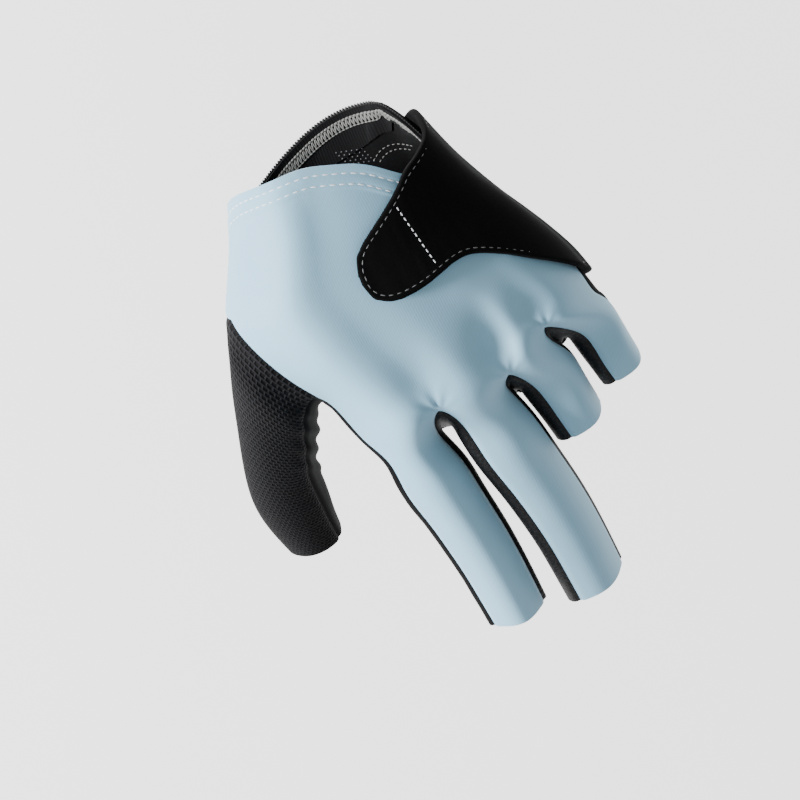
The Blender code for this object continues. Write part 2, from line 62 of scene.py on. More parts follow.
# Fingers, from the crotches to their open tips
INDEX_LENGTH = 0.0720
INDEX_WIDTH = 0.0218
INDEX_HEIGHT = 0.0215
MIDDLE_LENGTH = 0.0755
MIDDLE_WIDTH = 0.0232
MIDDLE_HEIGHT = 0.0220
RING_LENGTH = 0.0258
RING_WIDTH = 0.0191
RING_HEIGHT = 0.0205
LITTLE_LENGTH = 0.0252
LITTLE_WIDTH = 0.0173
LITTLE_HEIGHT = 0.0185

# Walls, seams and clearances
BACK_WALL = 0.0010
PALM_WALL = 0.0012
BAND_WALL = 0.0018
THUMB_WALL = 0.0015
GUSSET_WALL = 0.0010
STRAP_WALL = 0.0020
HOOK_WALL = 0.0008
PAD_WALL = 0.0012
LAY_GAP = 0.0003
RING_LEAN = 0.5

# Strap and patches
STRAP_LENGTH_STEPS = 34
STRAP_CROSS_STEPS = 9
STRAP_AXIS_X = 0.010
STRAP_AXIS_Z = 0.002
PAD_WIDTH = 0.0180
PAD_LENGTH = 0.0520
PAD_CENTRE_X = 0.0182
PAD_CENTRE_Y = -0.0340

FIT_ROUNDS = 5


class Finger(NamedTuple):
    """One finger tube. Its root is a share of KNUCKLE_WIDTH across and of KNUCKLE_DEPTH up, and its centre drifts
    towards the ulnar side and drops by shares of its length."""

    name: str
    root_across: float
    root_level: float
    length: float
    width: float
    height: float
    taper: float
    drift: float
    drop: float
    roll_deg: float
    near_lift_deg: float
    near_drop_deg: float
    far_lift_deg: float
    far_drop_deg: float


FINGERS = (
    Finger("index", -0.209, 0.404, INDEX_LENGTH, INDEX_WIDTH, INDEX_HEIGHT, 0.215, 0.066, 0.347, 0, 3, 22, 9, 22),
    Finger("middle", 0.070, 0.462, MIDDLE_LENGTH, MIDDLE_WIDTH, MIDDLE_HEIGHT, 0.150, 0.090, 0.373, 18, 23, 23, 12, 24),
    Finger("ring", 0.329, 0.262, RING_LENGTH, RING_WIDTH, RING_HEIGHT, 0.090, 0.112, 0.336, 27, 24, 24, 8, 22),
    Finger("little", 0.552, 0.077, LITTLE_LENGTH, LITTLE_WIDTH, LITTLE_HEIGHT, 0.110, 0.119, 0.317, 32, 22, 22, 6, 18),
)


class BodyRow(NamedTuple):
    """A cross-section of the body. along is a share of BODY_LENGTH from the wrist towards the fingers."""

    along: float
    shift: float
    spread: float
    level: float
    thin: float
    left_up: float
    left_down: float
    right_up: float
    right_down: float


BODY = (
    BodyRow(-0.04, -0.036, -0.02, 0.00, 0.00, 0.10, -0.32, 0.30, -0.32),
    BodyRow(0.13, -0.045, 0.34, 0.01, -0.09, 0.06, -0.36, 0.28, -0.34),
    BodyRow(0.27, -0.061, 0.73, 0.02, -0.19, 0.00, -0.44, 0.26, -0.34),
    BodyRow(0.36, -0.068, 1.01, 0.03, -0.22, -0.03, -0.52, 0.24, -0.34),
    BodyRow(0.45, -0.041, 1.12, 0.06, -0.18, 0.22, -0.66, 0.22, -0.33),
    BodyRow(0.53, -0.012, 1.15, 0.10, -0.12, 0.36, -0.70, 0.20, -0.32),
    BodyRow(0.65, 0.036, 1.15, 0.17, 0.06, 0.42, -0.58, 0.15, -0.30),
    BodyRow(0.78, 0.088, 1.07, 0.27, 0.33, 0.31, -0.22, 0.10, -0.28),
    BodyRow(0.91, 0.122, 0.99, 0.36, 0.64, 0.22, -0.12, 0.06, -0.27),
    BodyRow(1.05, 0.155, 1.00, 0.43, 1.00, 0.24, -0.04, 0.02, -0.27),
)


class Ray(NamedTuple):
    """A line between two finger rays, from the cuff's edge to the crotch: shares across, and along BODY_LENGTH."""

    hem_across: float
    hem_along: float
    crotch_across: float
    crotch_along: float


BACK_RAYS = (
    Ray(0.000, -0.060, 0.000, 1.020),
    Ray(0.390, -0.068, 0.283, 1.000),
    Ray(0.680, 0.025, 0.560, 1.008),
    Ray(0.850, 0.180, 0.773, 0.920),
    Ray(1.000, 0.310, 1.000, 0.920),
)
PALM_RAYS = (
    Ray(0.000, 0.035, 0.000, 1.050),
    Ray(0.360, -0.020, 0.283, 1.130),
    Ray(0.660, -0.052, 0.560, 1.140),
    Ray(0.870, -0.066, 0.773, 1.060),
    Ray(1.000, -0.045, 1.000, 0.980),
)

# Rows of the cage: how far each lies from the cuff's edge to the crotches
ROW_SHARES = (0.0, 0.105, 0.21, 0.32, 0.42, 0.53, 0.64, 0.76, 0.88, 1.0)
# The radial edge has its own rows, because the thumb's seam runs between rows THUMB_FIRST and THUMB_LAST
BACK_EDGE_ALONG = (-0.060, 0.09, 0.23, 0.364, 0.46, 0.56, 0.67, 0.77, 0.90, 1.02)
PALM_EDGE_ALONG = (0.035, 0.13, 0.24, 0.370, 0.47, 0.58, 0.70, 0.82, 0.94, 1.05)
THUMB_FIRST, THUMB_LAST = 3, 7


class FingerRing(NamedTuple):
    """A ring of a finger: shares of its length, of its whole drift and drop, and of its taper."""

    along: float
    drift: float
    fall: float
    narrow: float


LONG_RINGS = (
    FingerRing(0.10, 0.04, 0.03, 0.90),
    FingerRing(0.24, 0.28, 0.12, 0.40),
    FingerRing(0.40, 0.56, 0.25, 0.55),
    FingerRing(0.56, 0.79, 0.42, 0.66),
    FingerRing(0.71, 0.93, 0.61, 0.78),
    FingerRing(0.86, 0.98, 0.81, 0.88),
    FingerRing(1.00, 1.00, 1.00, 1.00),
)
SHORT_RINGS = (
    FingerRing(0.26, 0.15, 0.12, 0.30),
    FingerRing(0.62, 0.65, 0.52, 0.55),
    FingerRing(1.00, 1.00, 1.00, 1.00),
)

RINGS = {"index": LONG_RINGS, "middle": LONG_RINGS, "ring": SHORT_RINGS, "little": SHORT_RINGS}

# Thumb: its centre runs from the middle of its seam, out to the side, along and down
THUMB_LENGTH = 0.0592
THUMB_REACH = 0.0172
THUMB_DROP = 0.0290
THUMB_WIDTH = 0.0225
THUMB_HEIGHT = 0.0225
THUMB_ROLL_DEG = -18
THUMB_LIFT_DEG = 22


class ThumbRing(NamedTuple):
    """A ring of the thumb: shares of its reach, length and drop, of its width and height, and its turn from +X."""

    reach: float
    along: float
    fall: float
    wide: float
    tall: float
    turn_deg: float


THUMB_RINGS = (
    ThumbRing(0.28, 0.11, 0.05, 1.38, 1.26, -60),
    ThumbRing(0.45, 0.23, 0.15, 1.24, 1.18, -52),
    ThumbRing(0.64, 0.37, 0.29, 1.10, 1.10, -42),
    ThumbRing(0.84, 0.52, 0.47, 1.00, 1.03, -29),
    ThumbRing(0.97, 0.69, 0.68, 1.00, 0.98, -16),
    ThumbRing(1.00, 0.85, 0.85, 0.92, 0.90, -10),
    ThumbRing(0.96, 1.00, 1.00, 0.80, 0.82, -4),
)


class StrapStation(NamedTuple):
    """The strap at an angle round the hand, 90 over the back and 0 at the ulnar side: its edges along BODY_LENGTH."""

    angle_deg: float
    upper: float
    lower: float


STRAP = (
    StrapStation(-36, 0.010, 0.820),
    StrapStation(-24, -0.005, 0.860),
    StrapStation(-10, -0.010, 0.875),
    StrapStation(4, 0.005, 0.815),
    StrapStation(22, 0.035, 0.690),
    StrapStation(38, 0.075, 0.585),
    StrapStation(53, 0.105, 0.530),
    StrapStation(68, 0.130, 0.520),
    StrapStation(82, 0.172, 0.530),
    StrapStation(95, 0.207, 0.540),
    StrapStation(107, 0.240, 0.543),
    StrapStation(116, 0.268, 0.538),
    StrapStation(122, 0.292, 0.523),
    StrapStation(126, 0.318, 0.498),
    StrapStation(128.5, 0.350, 0.464),
    StrapStation(129.5, 0.390, 0.424),
)
HOOK_ANGLES_DEG = (82, 122)

# Panels: each with its wall
PANELS = {
    "back_panel": BACK_WALL,
    "palm_panel": PALM_WALL,
    "cuff_band": BAND_WALL,
    "thumb_back": THUMB_WALL,
    "thumb_front": PALM_WALL,
    "gusset_index_middle": GUSSET_WALL,
    "gusset_middle_ring": GUSSET_WALL,
    "gusset_ring_little": GUSSET_WALL,
}
TAGS = {name: tag for tag, name in enumerate(PANELS)}
GUSSETS = [name for name in PANELS if name.startswith("gusset")]
SKIN_LEVELS = 4


def column(rows, name):
    """One named column of a table, as an array."""
    return np.array([getattr(row, name) for row in rows], float)


def smooth_through(at, stations, values):
    """A smooth curve through the values at rising stations, flat beyond the ends."""
    slopes = np.gradient(values, stations)
    i = np.clip(np.searchsorted(stations, at) - 1, 0, len(stations) - 2)
    span = stations[i + 1] - stations[i]
    t = np.clip((at - stations[i]) / span, 0.0, 1.0)
    rise = (3 - 2 * t) * t * t
    return (
        values[i] * (1 - rise)
        + values[i + 1] * rise
        + slopes[i] * span * t * (1 - t) ** 2
        - slopes[i + 1] * span * (1 - t) * t * t
    )


def body(name, along):
    return smooth_through(along, column(BODY, "along"), column(BODY, name))


def edges_x(along):
    """The body's radial and ulnar edges."""
    middle = body("shift", along) * KNUCKLE_WIDTH
    half = (WRIST_WIDTH + (KNUCKLE_WIDTH - WRIST_WIDTH) * body("spread", along)) / 2
    return middle - half, middle + half


def arch(across):
    """0 at both edges of the body and 1 over its middle."""
    return (1 - np.abs(2 * across - 1) ** 2.3) ** (1 / 2.3)


def body_point(along, across, on_back):
    """A point of the body's skin, on the back or the palm."""
    left, right = edges_x(along)
    depth = WRIST_DEPTH + (KNUCKLE_DEPTH - WRIST_DEPTH) * body("thin", along)
    level = body("level", along) * KNUCKLE_DEPTH
    side = "up" if on_back else "down"
    left_z = body(f"left_{side}", along) * KNUCKLE_DEPTH
    right_z = body(f"right_{side}", along) * KNUCKLE_DEPTH
    base = left_z + (right_z - left_z) * across
    fall = CROSS_FALL * body("spread", along) * (0.5 - across)
    crown = level + (depth / 2 + fall if on_back else -depth / 2)
    tuck = 0 if on_back else SIDE_TUCK * (1 - 2 * across) * abs(1 - 2 * across)
    x = left + (right - left) * across + tuck
    return np.array([x, -along * BODY_LENGTH, base + (crown - base) * arch(across)])


class Cage:
    """The control cage of the skin: the points that it has to pass through, and faces tagged with their panel."""

    def __init__(self):
        self.points = []
        self.index = {}
        self.faces = []
        self.tags = []

    def put(self, key, point):
        self.index[key] = len(self.points)
        self.points.append(point)

    def face(self, panel, *keys):
        self.faces.append([self.index[key] for key in keys])
        self.tags.append(TAGS[panel])


def add_body_points(cage):
    """Rows of nine points on the back and on the palm: the rays' borders, and the crown of each ray between them."""
    for side, rays, edge in (("back", BACK_RAYS, BACK_EDGE_ALONG), ("palm", PALM_RAYS, PALM_EDGE_ALONG)):
        on_back = side == "back"
        for row, share in enumerate(ROW_SHARES):
            across = [r.hem_across + (r.crotch_across - r.hem_across) * share for r in rays]
            along = [r.hem_along + (r.crotch_along - r.hem_along) * share for r in rays]
            along[0] = edge[row]
            for col in range(9):
                ray = col // 2
                if col % 2:
                    a = (along[ray] + along[ray + 1]) / 2
                    s = (across[ray] + across[ray + 1]) / 2
                    point = body_point(a, s, on_back)
                    point[2] += KNUCKLE_RISE * share**4 if on_back else 0
                else:
                    point = body_point(along[ray], across[ray], on_back)
                    inner = 0 < col < 8
                    point[2] -= VALLEY_DEPTH * share**4 * (1 if on_back else -0.6) * inner
                cage.put((side, row, col), point)


def add_body_faces(cage):
    last = len(ROW_SHARES) - 1
    for row in range(last):
        for col in range(8):
            b = [("back", row, col), ("back", row + 1, col), ("back", row + 1, col + 1), ("back", row, col + 1)]
            p = [("palm", r, c) for _, r, c in reversed(b)]
            cage.face("back_panel", *b)
            cage.face("cuff_band" if row == 0 else "palm_panel", *p)
        if not THUMB_FIRST <= row < THUMB_LAST:
            radial = "back_panel" if row < THUMB_FIRST else "palm_panel"
            cage.face(
                radial, ("back", row, 0), ("palm", row, 0), ("palm", row + 1, 0), ("back", row + 1, 0)
            )
        ulnar = "cuff_band" if row == 0 else "palm_panel"
        cage.face(ulnar, ("back", row, 8), ("back", row + 1, 8), ("palm", row + 1, 8), ("palm", row, 8))


def ring_points(centre, across, normal, width, height, angles_deg):
    """Points of an elliptical ring at angles from its `across` direction."""
    turns = np.radians(angles_deg)
    return [
        centre + across * (width / 2 * math.cos(t)) + normal * (height / 2 * math.sin(t))
        for t in turns
    ]


def unit(v):
    return v / np.linalg.norm(v)


def finger_key(finger, ring, side, j):
    """The key of a finger's point. Its ring 0 is the last row of the body."""
    if ring == 0:
        return (side, len(ROW_SHARES) - 1, 2 * finger + j)
    return ("finger", finger, ring, side, j)


def finger_root_along(finger):
    rays = BACK_RAYS[finger : finger + 2]
    return max(rays[0].crotch_along, rays[1].crotch_along)


def add_finger(cage, number, finger):
    rings = RINGS[finger.name]
    across, level = finger.root_across * KNUCKLE_WIDTH, finger.root_level * KNUCKLE_DEPTH
    root = np.array([across, -finger_root_along(number) * BODY_LENGTH, level])
    reach = np.array([finger.drift, -1, -finger.drop]) * finger.length
    path = [root] + [root + reach * (r.drift, r.along, r.fall) for r in rings]
    roll = math.radians(finger.roll_deg)
    upright = np.array([math.sin(roll), 0.0, math.cos(roll)])
    for k, ring in enumerate(rings, start=1):
        ahead = unit(path[min(k + 1, len(rings))] - path[k - 1])
        leaning = upright - ahead * (upright @ ahead)
        normal = unit(upright + (leaning - upright) * RING_LEAN)
        across = unit(np.cross(normal, ahead))
        slim = 1 - finger.taper * ring.narrow
        sizes = (finger.width * slim, finger.height * slim)
        back = (180 - finger.near_lift_deg, 90, finger.far_lift_deg)
        palm = (180 + finger.near_drop_deg, 270, -finger.far_drop_deg)
        for side, angles in (("back", back), ("palm", palm)):
            for j, point in enumerate(ring_points(path[k], across, normal, *sizes, angles)):
                cage.put(finger_key(number, k, side, j), point)
    near = "palm_panel" if number == 0 else GUSSETS[number - 1]
    far = "palm_panel" if number == 3 else GUSSETS[number]
    for k in range(len(rings)):
        def key(ring, side, j, number=number):
            return finger_key(number, ring, side, j)

        for j in (0, 1):
            cage.face(
                "back_panel", key(k, "back", j), key(k + 1, "back", j), key(k + 1, "back", j + 1), key(k, "back", j + 1)
            )
            cage.face(
                "palm_panel", key(k, "palm", j + 1), key(k + 1, "palm", j + 1), key(k + 1, "palm", j), key(k, "palm", j)
            )
        cage.face(near, key(k, "back", 0), key(k, "palm", 0), key(k + 1, "palm", 0), key(k + 1, "back", 0))
        cage.face(far, key(k, "back", 2), key(k + 1, "back", 2), key(k + 1, "palm", 2), key(k, "palm", 2))


def thumb_key(ring, m):
    """The key of the thumb's point m of ten. Ring 0 is its seam: five points of the back, then five of the palm."""
    if ring == 0:
        return ("back", THUMB_FIRST + m, 0) if m < 5 else ("palm", THUMB_LAST + 5 - m, 0)
    return ("thumb", ring, m)


def add_thumb(cage):
    seam = [cage.points[cage.index[thumb_key(0, m)]] for m in range(10)]
    root = (seam[0] + seam[4] + seam[5] + seam[9]) / 4
    reach = np.array([-THUMB_REACH, -THUMB_LENGTH, -THUMB_DROP])
    path = [root] + [root + reach * (r.reach, r.along, r.fall) for r in THUMB_RINGS]
    lift = THUMB_LIFT_DEG
    angles = [180 - lift, 124, 90, 56, lift, -lift, -56, -90, -124, lift - 180]
    roll = math.radians(THUMB_ROLL_DEG)
    for k, ring in enumerate(THUMB_RINGS, start=1):
        ahead = unit(path[min(k + 1, len(THUMB_RINGS))] - path[k - 1])
        turn = math.radians(ring.turn_deg)
        across = np.array([math.cos(turn), math.sin(turn), 0.0])
        normal = unit(np.cross(ahead, across))
        normal *= 1 if normal[2] > 0 else -1
        rolled = across * math.cos(roll) - normal * math.sin(roll)
        normal = normal * math.cos(roll) + across * math.sin(roll)
        sizes = (THUMB_WIDTH * ring.wide, THUMB_HEIGHT * ring.tall)
        for m, point in enumerate(ring_points(path[k], rolled, normal, *sizes, angles)):
            cage.put(thumb_key(k, m), point)
    for k in range(len(THUMB_RINGS)):
        for m in range(10):
            n = (m + 1) % 10
            panel = "thumb_back" if m in (9, 0, 1, 2, 3) else "thumb_front"
            cage.face(panel, thumb_key(k, m), thumb_key(k + 1, m), thumb_key(k + 1, n), thumb_key(k, n))


class Form:
    """The hand's form under the strap: radii about the strap's axis, by station along the body and by angle."""

    def __init__(self, skin):
        self.along = np.linspace(-0.06, 1.0, 28)
        self.angles = np.radians(np.arange(-180, 181, 4.0))
        across = (1 - np.cos(np.linspace(0, math.pi, 31))) / 2
        self.radii = []
        for along in self.along:
            back = [body_point(along, s, True) for s in across]
            palm = [body_point(along, s, False) for s in across]
            ring = np.array(palm + back[::-1]) - (STRAP_AXIS_X, 0, STRAP_AXIS_Z)
            angle = np.arctan2(ring[:, 2], ring[:, 0])
            radii = np.interp(self.angles, angle, np.hypot(ring[:, 0], ring[:, 2]), period=2 * math.pi)
            start = Vector((STRAP_AXIS_X, -along * BODY_LENGTH, STRAP_AXIS_Z))
            for i, turn in enumerate(self.angles):
                hit = skin.tree.ray_cast(start, Vector((math.cos(turn), 0, math.sin(turn))))
                radii[i] = max(radii[i], hit[3] or 0)
            self.radii.append(stretched_round(self.angles, radii))

    def point(self, angle, along):
        radius = float(np.interp(along, self.along, [np.interp(angle, self.angles, r) for r in self.radii]))
        return np.array(
            (
                STRAP_AXIS_X + radius * math.cos(angle),
                -along * BODY_LENGTH,
                STRAP_AXIS_Z + radius * math.sin(angle),
            )
        )


def stretched_round(angles, radii):
    """The radii of a band drawn tight round a section: the section's convex hull, seen from the axis."""
    turn = angles[:, None] - angles[None, :]
    hull = np.full(len(angles), np.inf)
    for lean in np.radians(np.arange(-60, 61, 5.0)):
        support = np.max(radii[None, :] * np.cos(turn + lean), axis=1)
        hull = np.minimum(hull, support / math.cos(lean))
    return np.maximum(radii, hull)


def grid_faces(rows, cols):
    return [
        [r * cols + c, (r + 1) * cols + c, (r + 1) * cols + c + 1, r * cols + c + 1]
        for r in range(rows - 1)
        for c in range(cols - 1)
    ]


def grid_normals(grid):
    """Outward normals of a grid of points, rows by columns."""
    by_row = np.gradient(grid, axis=0)
    by_col = np.gradient(grid, axis=1)
    normal = np.cross(by_row, by_col)
    return normal / np.linalg.norm(normal, axis=2, keepdims=True)


def seated(grid, skin, clearance):
    """The grid lifted off the skin, until every corner, edge and face of the skin under it is that clear of it."""
    reach = 3 * STRAP_WALL
    corners = [skin.points[f] for f in skin.faces]
    samples = [(p, n) for p, n in zip(skin.points, skin.normals)]
    for face, corner in zip(skin.faces, corners):
        normal = unit(skin.normals[face].sum(axis=0))
        samples.append((corner.mean(axis=0), normal))
        samples += [((corner[i - 1] + corner[i]) / 2, normal) for i in range(len(face))]
    rows, cols = grid.shape[:2]
    faces = grid_faces(rows, cols)
    normal = grid_normals(grid)
    lift = np.array(clearance, float)[:, None] * np.ones(cols)
    need = lift.copy()
    for _ in range(5):
        raised = grid + normal * lift[:, :, None]
        tree = BVHTree.FromPolygons([Vector(p) for p in raised.reshape(-1, 3)], faces)
        more = np.zeros(rows * cols)
        for point, out in samples:
            start = Vector(point - out * reach)
            _, _, face, distance = tree.ray_cast(start, Vector(out), 2 * reach)
            if face is None:
                continue
            corner = faces[face]
            short = need.reshape(-1)[corner[0]] - (distance - reach)
            if short > 0:
                more[corner] = np.maximum(more[corner], short)
        lift += more.reshape(rows, cols)
    return grid + normal * lift[:, :, None]


def strap_grid(form, angles_deg):
    """Points on the hand's form between the strap's edges."""
    stations = column(STRAP, "angle_deg")
    rows = []
    for angle in angles_deg:
        upper = smooth_through(angle, stations, column(STRAP, "upper"))
        lower = smooth_through(angle, stations, column(STRAP, "lower"))
        rows.append([form.point(math.radians(angle), a) for a in np.linspace(upper, lower, STRAP_CROSS_STEPS)])
    return np.array(rows)


# Materials


def linear(code):
    """An sRGB hex colour as linear red, green, blue and alpha."""
    channels = [int(code[i : i + 2], 16) / 255 for i in (0, 2, 4)]
    return (*[c / 12.92 if c <= 0.04045 else ((c + 0.055) / 1.055) ** 2.4 for c in channels], 1)


def add(tree, kind, inputs=None, **settings):
    """A node with its settings, and its inputs set to values or linked to sockets."""
    node = tree.nodes.new(kind)
    for name, value in settings.items():
        setattr(node, name, value)
    for key, value in (inputs or {}).items():
        if isinstance(value, bpy.types.NodeSocket):
            tree.links.new(value, node.inputs[key])
        else:
            node.inputs[key].default_value = value
    return node


def cloth(name, **shader_inputs):
    """A new material with a Principled shader, ready for its pattern."""
    made = bpy.data.materials.new(name)
    made.use_nodes = True
    tree = made.node_tree
    shader = tree.nodes["Principled BSDF"]
    for key, value in shader_inputs.items():
        shader.inputs[key.replace("_", " ")].default_value = value
    return made, tree, shader


def wave_scale(period):
    """The Wave Texture scale whose bands repeat every `period` metres."""
    return math.tau / 20 / period


def blue_jersey():
    """Warp-knit nylon and elastane jersey, piece-dyed: fine wales 0.7 mm apart along the hand, and a soft sheen."""
    made, tree, shader = cloth(
        "knitted_nylon_elastane", Roughness=0.62, Sheen_Weight=0.18, Sheen_Roughness=0.45, Specular_IOR_Level=0.35
    )
    uv = add(tree, "ShaderNodeUVMap", uv_map="cut").outputs[0]
    wales = add(
        tree, "ShaderNodeTexWave",
        {"Vector": uv, "Scale": wave_scale(0.7 * MM), "Distortion": 0.9, "Detail": 1.0, "Detail Scale": 0.6},
        bands_direction="X",
    )
    courses = add(
        tree, "ShaderNodeTexWave",
        {"Vector": uv, "Scale": wave_scale(0.95 * MM), "Distortion": 1.0, "Detail": 1.0, "Detail Scale": 0.8},
        bands_direction="DIAGONAL",
    )
    knit = add(
        tree, "ShaderNodeMix",
        {"Factor": 0.30, "A": wales.outputs["Fac"], "B": courses.outputs["Fac"]},
        data_type="FLOAT",
    )
    place = add(tree, "ShaderNodeTexCoord").outputs["Object"]
    patches = add(tree, "ShaderNodeTexNoise", {"Vector": place, "Scale": 38.0, "Detail": 3.0, "Roughness": 0.55})
    dye = add(tree, "ShaderNodeMix", {"Factor": patches.outputs["Fac"]}, data_type="RGBA")
    dye.inputs["A"].default_value = linear("7DABC4")
    dye.inputs["B"].default_value = linear("8FBAD0")
    # Painted shade: the knit's grooves take the dye darkened a little (multiplied by a grey blue), and the tops of its
    # ribs keep the full dye
    ribs = add(tree, "ShaderNodeMix", {"Factor": knit.outputs[0]}, data_type="RGBA", blend_type="MIX")
    deep = add(tree, "ShaderNodeMix", {"Factor": 0.05}, data_type="RGBA", blend_type="MULTIPLY")
    tree.links.new(dye.outputs["Result"], deep.inputs["A"])
    deep.inputs["B"].default_value = linear("4C6A7C")
    tree.links.new(deep.outputs["Result"], ribs.inputs["A"])
    tree.links.new(dye.outputs["Result"], ribs.inputs["B"])
    tree.links.new(ribs.outputs["Result"], shader.inputs["Base Color"])
    bump = add(tree, "ShaderNodeBump", {"Strength": 0.22, "Distance": 0.07 * MM, "Height": knit.outputs[0]})
    tree.links.new(bump.outputs[0], shader.inputs["Normal"])
    return made


def black_microfibre():
    """Sueded polyurethane microfibre: no weave, only a fine nap that greys the black at grazing angles."""
    made, tree, shader = cloth(
        "sueded_microfibre", Roughness=0.9, Sheen_Weight=0.03, Sheen_Roughness=0.5, Specular_IOR_Level=0.12
    )
    place = add(tree, "ShaderNodeTexCoord").outputs["Object"]
    nap = add(tree, "ShaderNodeTexNoise", {"Vector": place, "Scale": 1300.0, "Detail": 4.0, "Roughness": 0.6})
    tone = add(tree, "ShaderNodeValToRGB", {"Fac": nap.outputs["Fac"]})
    tone.color_ramp.elements[0].position, tone.color_ramp.elements[1].position = 0.35, 0.72
    tone.color_ramp.elements[0].color, tone.color_ramp.elements[1].color = linear("040405"), linear("0B0B0C")
    tree.links.new(tone.outputs[0], shader.inputs["Base Color"])
    bump = add(tree, "ShaderNodeBump", {"Strength": 0.5, "Distance": 0.1 * MM, "Height": nap.outputs["Fac"]})
    tree.links.new(bump.outputs[0], shader.inputs["Normal"])
    return made


def black_gusset():
    """Embossed stretch leathercloth between the fingers: a pebbled grain 0.7 mm across, with painted soft highlights on
    the pebbles and painted shade between them.
    """
    made, tree, shader = cloth("embossed_leathercloth", Roughness=0.6, Specular_IOR_Level=0.22)
    place = add(tree, "ShaderNodeTexCoord").outputs["Object"]
    grain = add(
        tree, "ShaderNodeTexVoronoi",
        {"Vector": place, "Scale": 1 / (0.75 * MM), "Smoothness": 0.6},
        feature="SMOOTH_F1",
    )
    # Painted highlight and shade: the colour is lighter at the middle of each pebble, where the bump is highest, and
    # near black in the hollows between them
    tone = add(tree, "ShaderNodeValToRGB", {"Fac": grain.outputs["Distance"]})
    tone.color_ramp.elements[0].position, tone.color_ramp.elements[1].position = 0.1, 0.62
    tone.color_ramp.elements[0].color, tone.color_ramp.elements[1].color = linear("1A1A1C"), linear("050506")
    tree.links.new(tone.outputs[0], shader.inputs["Base Color"])
    bump = add(
        tree, "ShaderNodeBump",
        {"Strength": 0.8, "Distance": 0.16 * MM, "Height": grain.outputs["Distance"]},
        invert=True,
    )
    tree.links.new(bump.outputs[0], shader.inputs["Normal"])
    return made


def black_air_mesh():
    """Knitted polyester air mesh: plump threads in a basket of offset holes, 1.5 mm apart across and 1.2 mm along."""
    made, tree, shader = cloth("knitted_air_mesh", Roughness=0.75, Specular_IOR_Level=0.1)
    uv = add(tree, "ShaderNodeUVMap", uv_map="cut").outputs[0]
    sway = add(tree, "ShaderNodeTexNoise", {"Vector": uv, "Scale": 260.0, "Detail": 1.0})
    lean = add(tree, "ShaderNodeVectorMath", {0: sway.outputs["Color"], 1: (0.0004, 0.0004, 0.0)}, operation="MULTIPLY")
    drawn = add(tree, "ShaderNodeVectorMath", {0: uv, 1: lean.outputs[0]}, operation="ADD")
    net = add(
        tree, "ShaderNodeTexBrick",
        {"Vector": drawn.outputs[0], "Scale": 1.0, "Mortar Size": 0.42 * MM, "Mortar Smooth": 0.9,
         "Brick Width": 1.55 * MM, "Row Height": 1.15 * MM},
        offset=0.5, squash=1.0,
    )
    # Painted shade: the holes (the bricks) are near black, as the shade inside them; the threads (the mortar) are the
    # mesh's own dark grey
    net.inputs["Color1"].default_value = linear("030304")
    net.inputs["Color2"].default_value = linear("040405")
    net.inputs["Mortar"].default_value = linear("17171A")
    tree.links.new(net.outputs["Color"], shader.inputs["Base Color"])
    bump = add(tree, "ShaderNodeBump", {"Strength": 1.0, "Distance": 0.5 * MM, "Height": net.outputs["Fac"]})
    tree.links.new(bump.outputs[0], shader.inputs["Normal"])
    return made


def black_elastic():
    """Woven elastic band: ribs 0.9 mm apart that run across it, in a matt black yarn."""
    made, tree, shader = cloth("woven_elastic", Roughness=0.8, Sheen_Weight=0.03, Specular_IOR_Level=0.15)
    uv = add(tree, "ShaderNodeUVMap", uv_map="cut").outputs[0]
    ribs = add(
        tree, "ShaderNodeTexWave", {"Vector": uv, "Scale": wave_scale(0.9 * MM), "Distortion": 0.3}, bands_direction="X"
    )
    tone = add(tree, "ShaderNodeValToRGB", {"Fac": ribs.outputs["Fac"]})
    tone.color_ramp.elements[0].color, tone.color_ramp.elements[1].color = linear("050506"), linear("0A0A0C")
    tree.links.new(tone.outputs[0], shader.inputs["Base Color"])
    bump = add(tree, "ShaderNodeBump", {"Strength": 0.3, "Distance": 0.12 * MM, "Height": ribs.outputs["Fac"]})
    tree.links.new(bump.outputs[0], shader.inputs["Normal"])
    return made


def black_neoprene():
    """Foam rubber laminated with a brushed knit: deep matt black, with a very fine nap."""
    made, tree, shader = cloth(
        "knit_faced_neoprene", Roughness=0.9, Sheen_Weight=0.015, Sheen_Roughness=0.4, Specular_IOR_Level=0.07
    )
    place = add(tree, "ShaderNodeTexCoord").outputs["Object"]
    nap = add(tree, "ShaderNodeTexNoise", {"Vector": place, "Scale": 1800.0, "Detail": 3.0, "Roughness": 0.6})
    tone = add(tree, "ShaderNodeValToRGB", {"Fac": nap.outputs["Fac"]})
    tone.color_ramp.elements[0].position, tone.color_ramp.elements[1].position = 0.3, 0.75
    tone.color_ramp.elements[0].color, tone.color_ramp.elements[1].color = linear("040405"), linear("0A0A0B")
    tree.links.new(tone.outputs[0], shader.inputs["Base Color"])
    bump = add(tree, "ShaderNodeBump", {"Strength": 0.35, "Distance": 0.08 * MM, "Height": nap.outputs["Fac"]})
    tree.links.new(bump.outputs[0], shader.inputs["Normal"])
    return made


def thread(name, code, sheen=0.25):
    """Spun polyester sewing thread: two plies whose twist shows as slanting shade."""
    made, tree, shader = cloth(name, Roughness=0.55, Sheen_Weight=sheen, Specular_IOR_Level=0.4)
    place = add(tree, "ShaderNodeTexCoord").outputs["Object"]
    twist = add(
        tree, "ShaderNodeTexWave",
        {"Vector": place, "Scale": wave_scale(0.35 * MM), "Distortion": 0.5},
        bands_direction="DIAGONAL",
    )
    shade = add(tree, "ShaderNodeMix", {"Factor": twist.outputs["Fac"]}, data_type="RGBA")
    full = linear(code)
    shade.inputs["A"].default_value = (full[0] * 0.72, full[1] * 0.72, full[2] * 0.74, 1)
    shade.inputs["B"].default_value = full
    tree.links.new(shade.outputs["Result"], shader.inputs["Base Color"])
    return made


# The skin and its panels


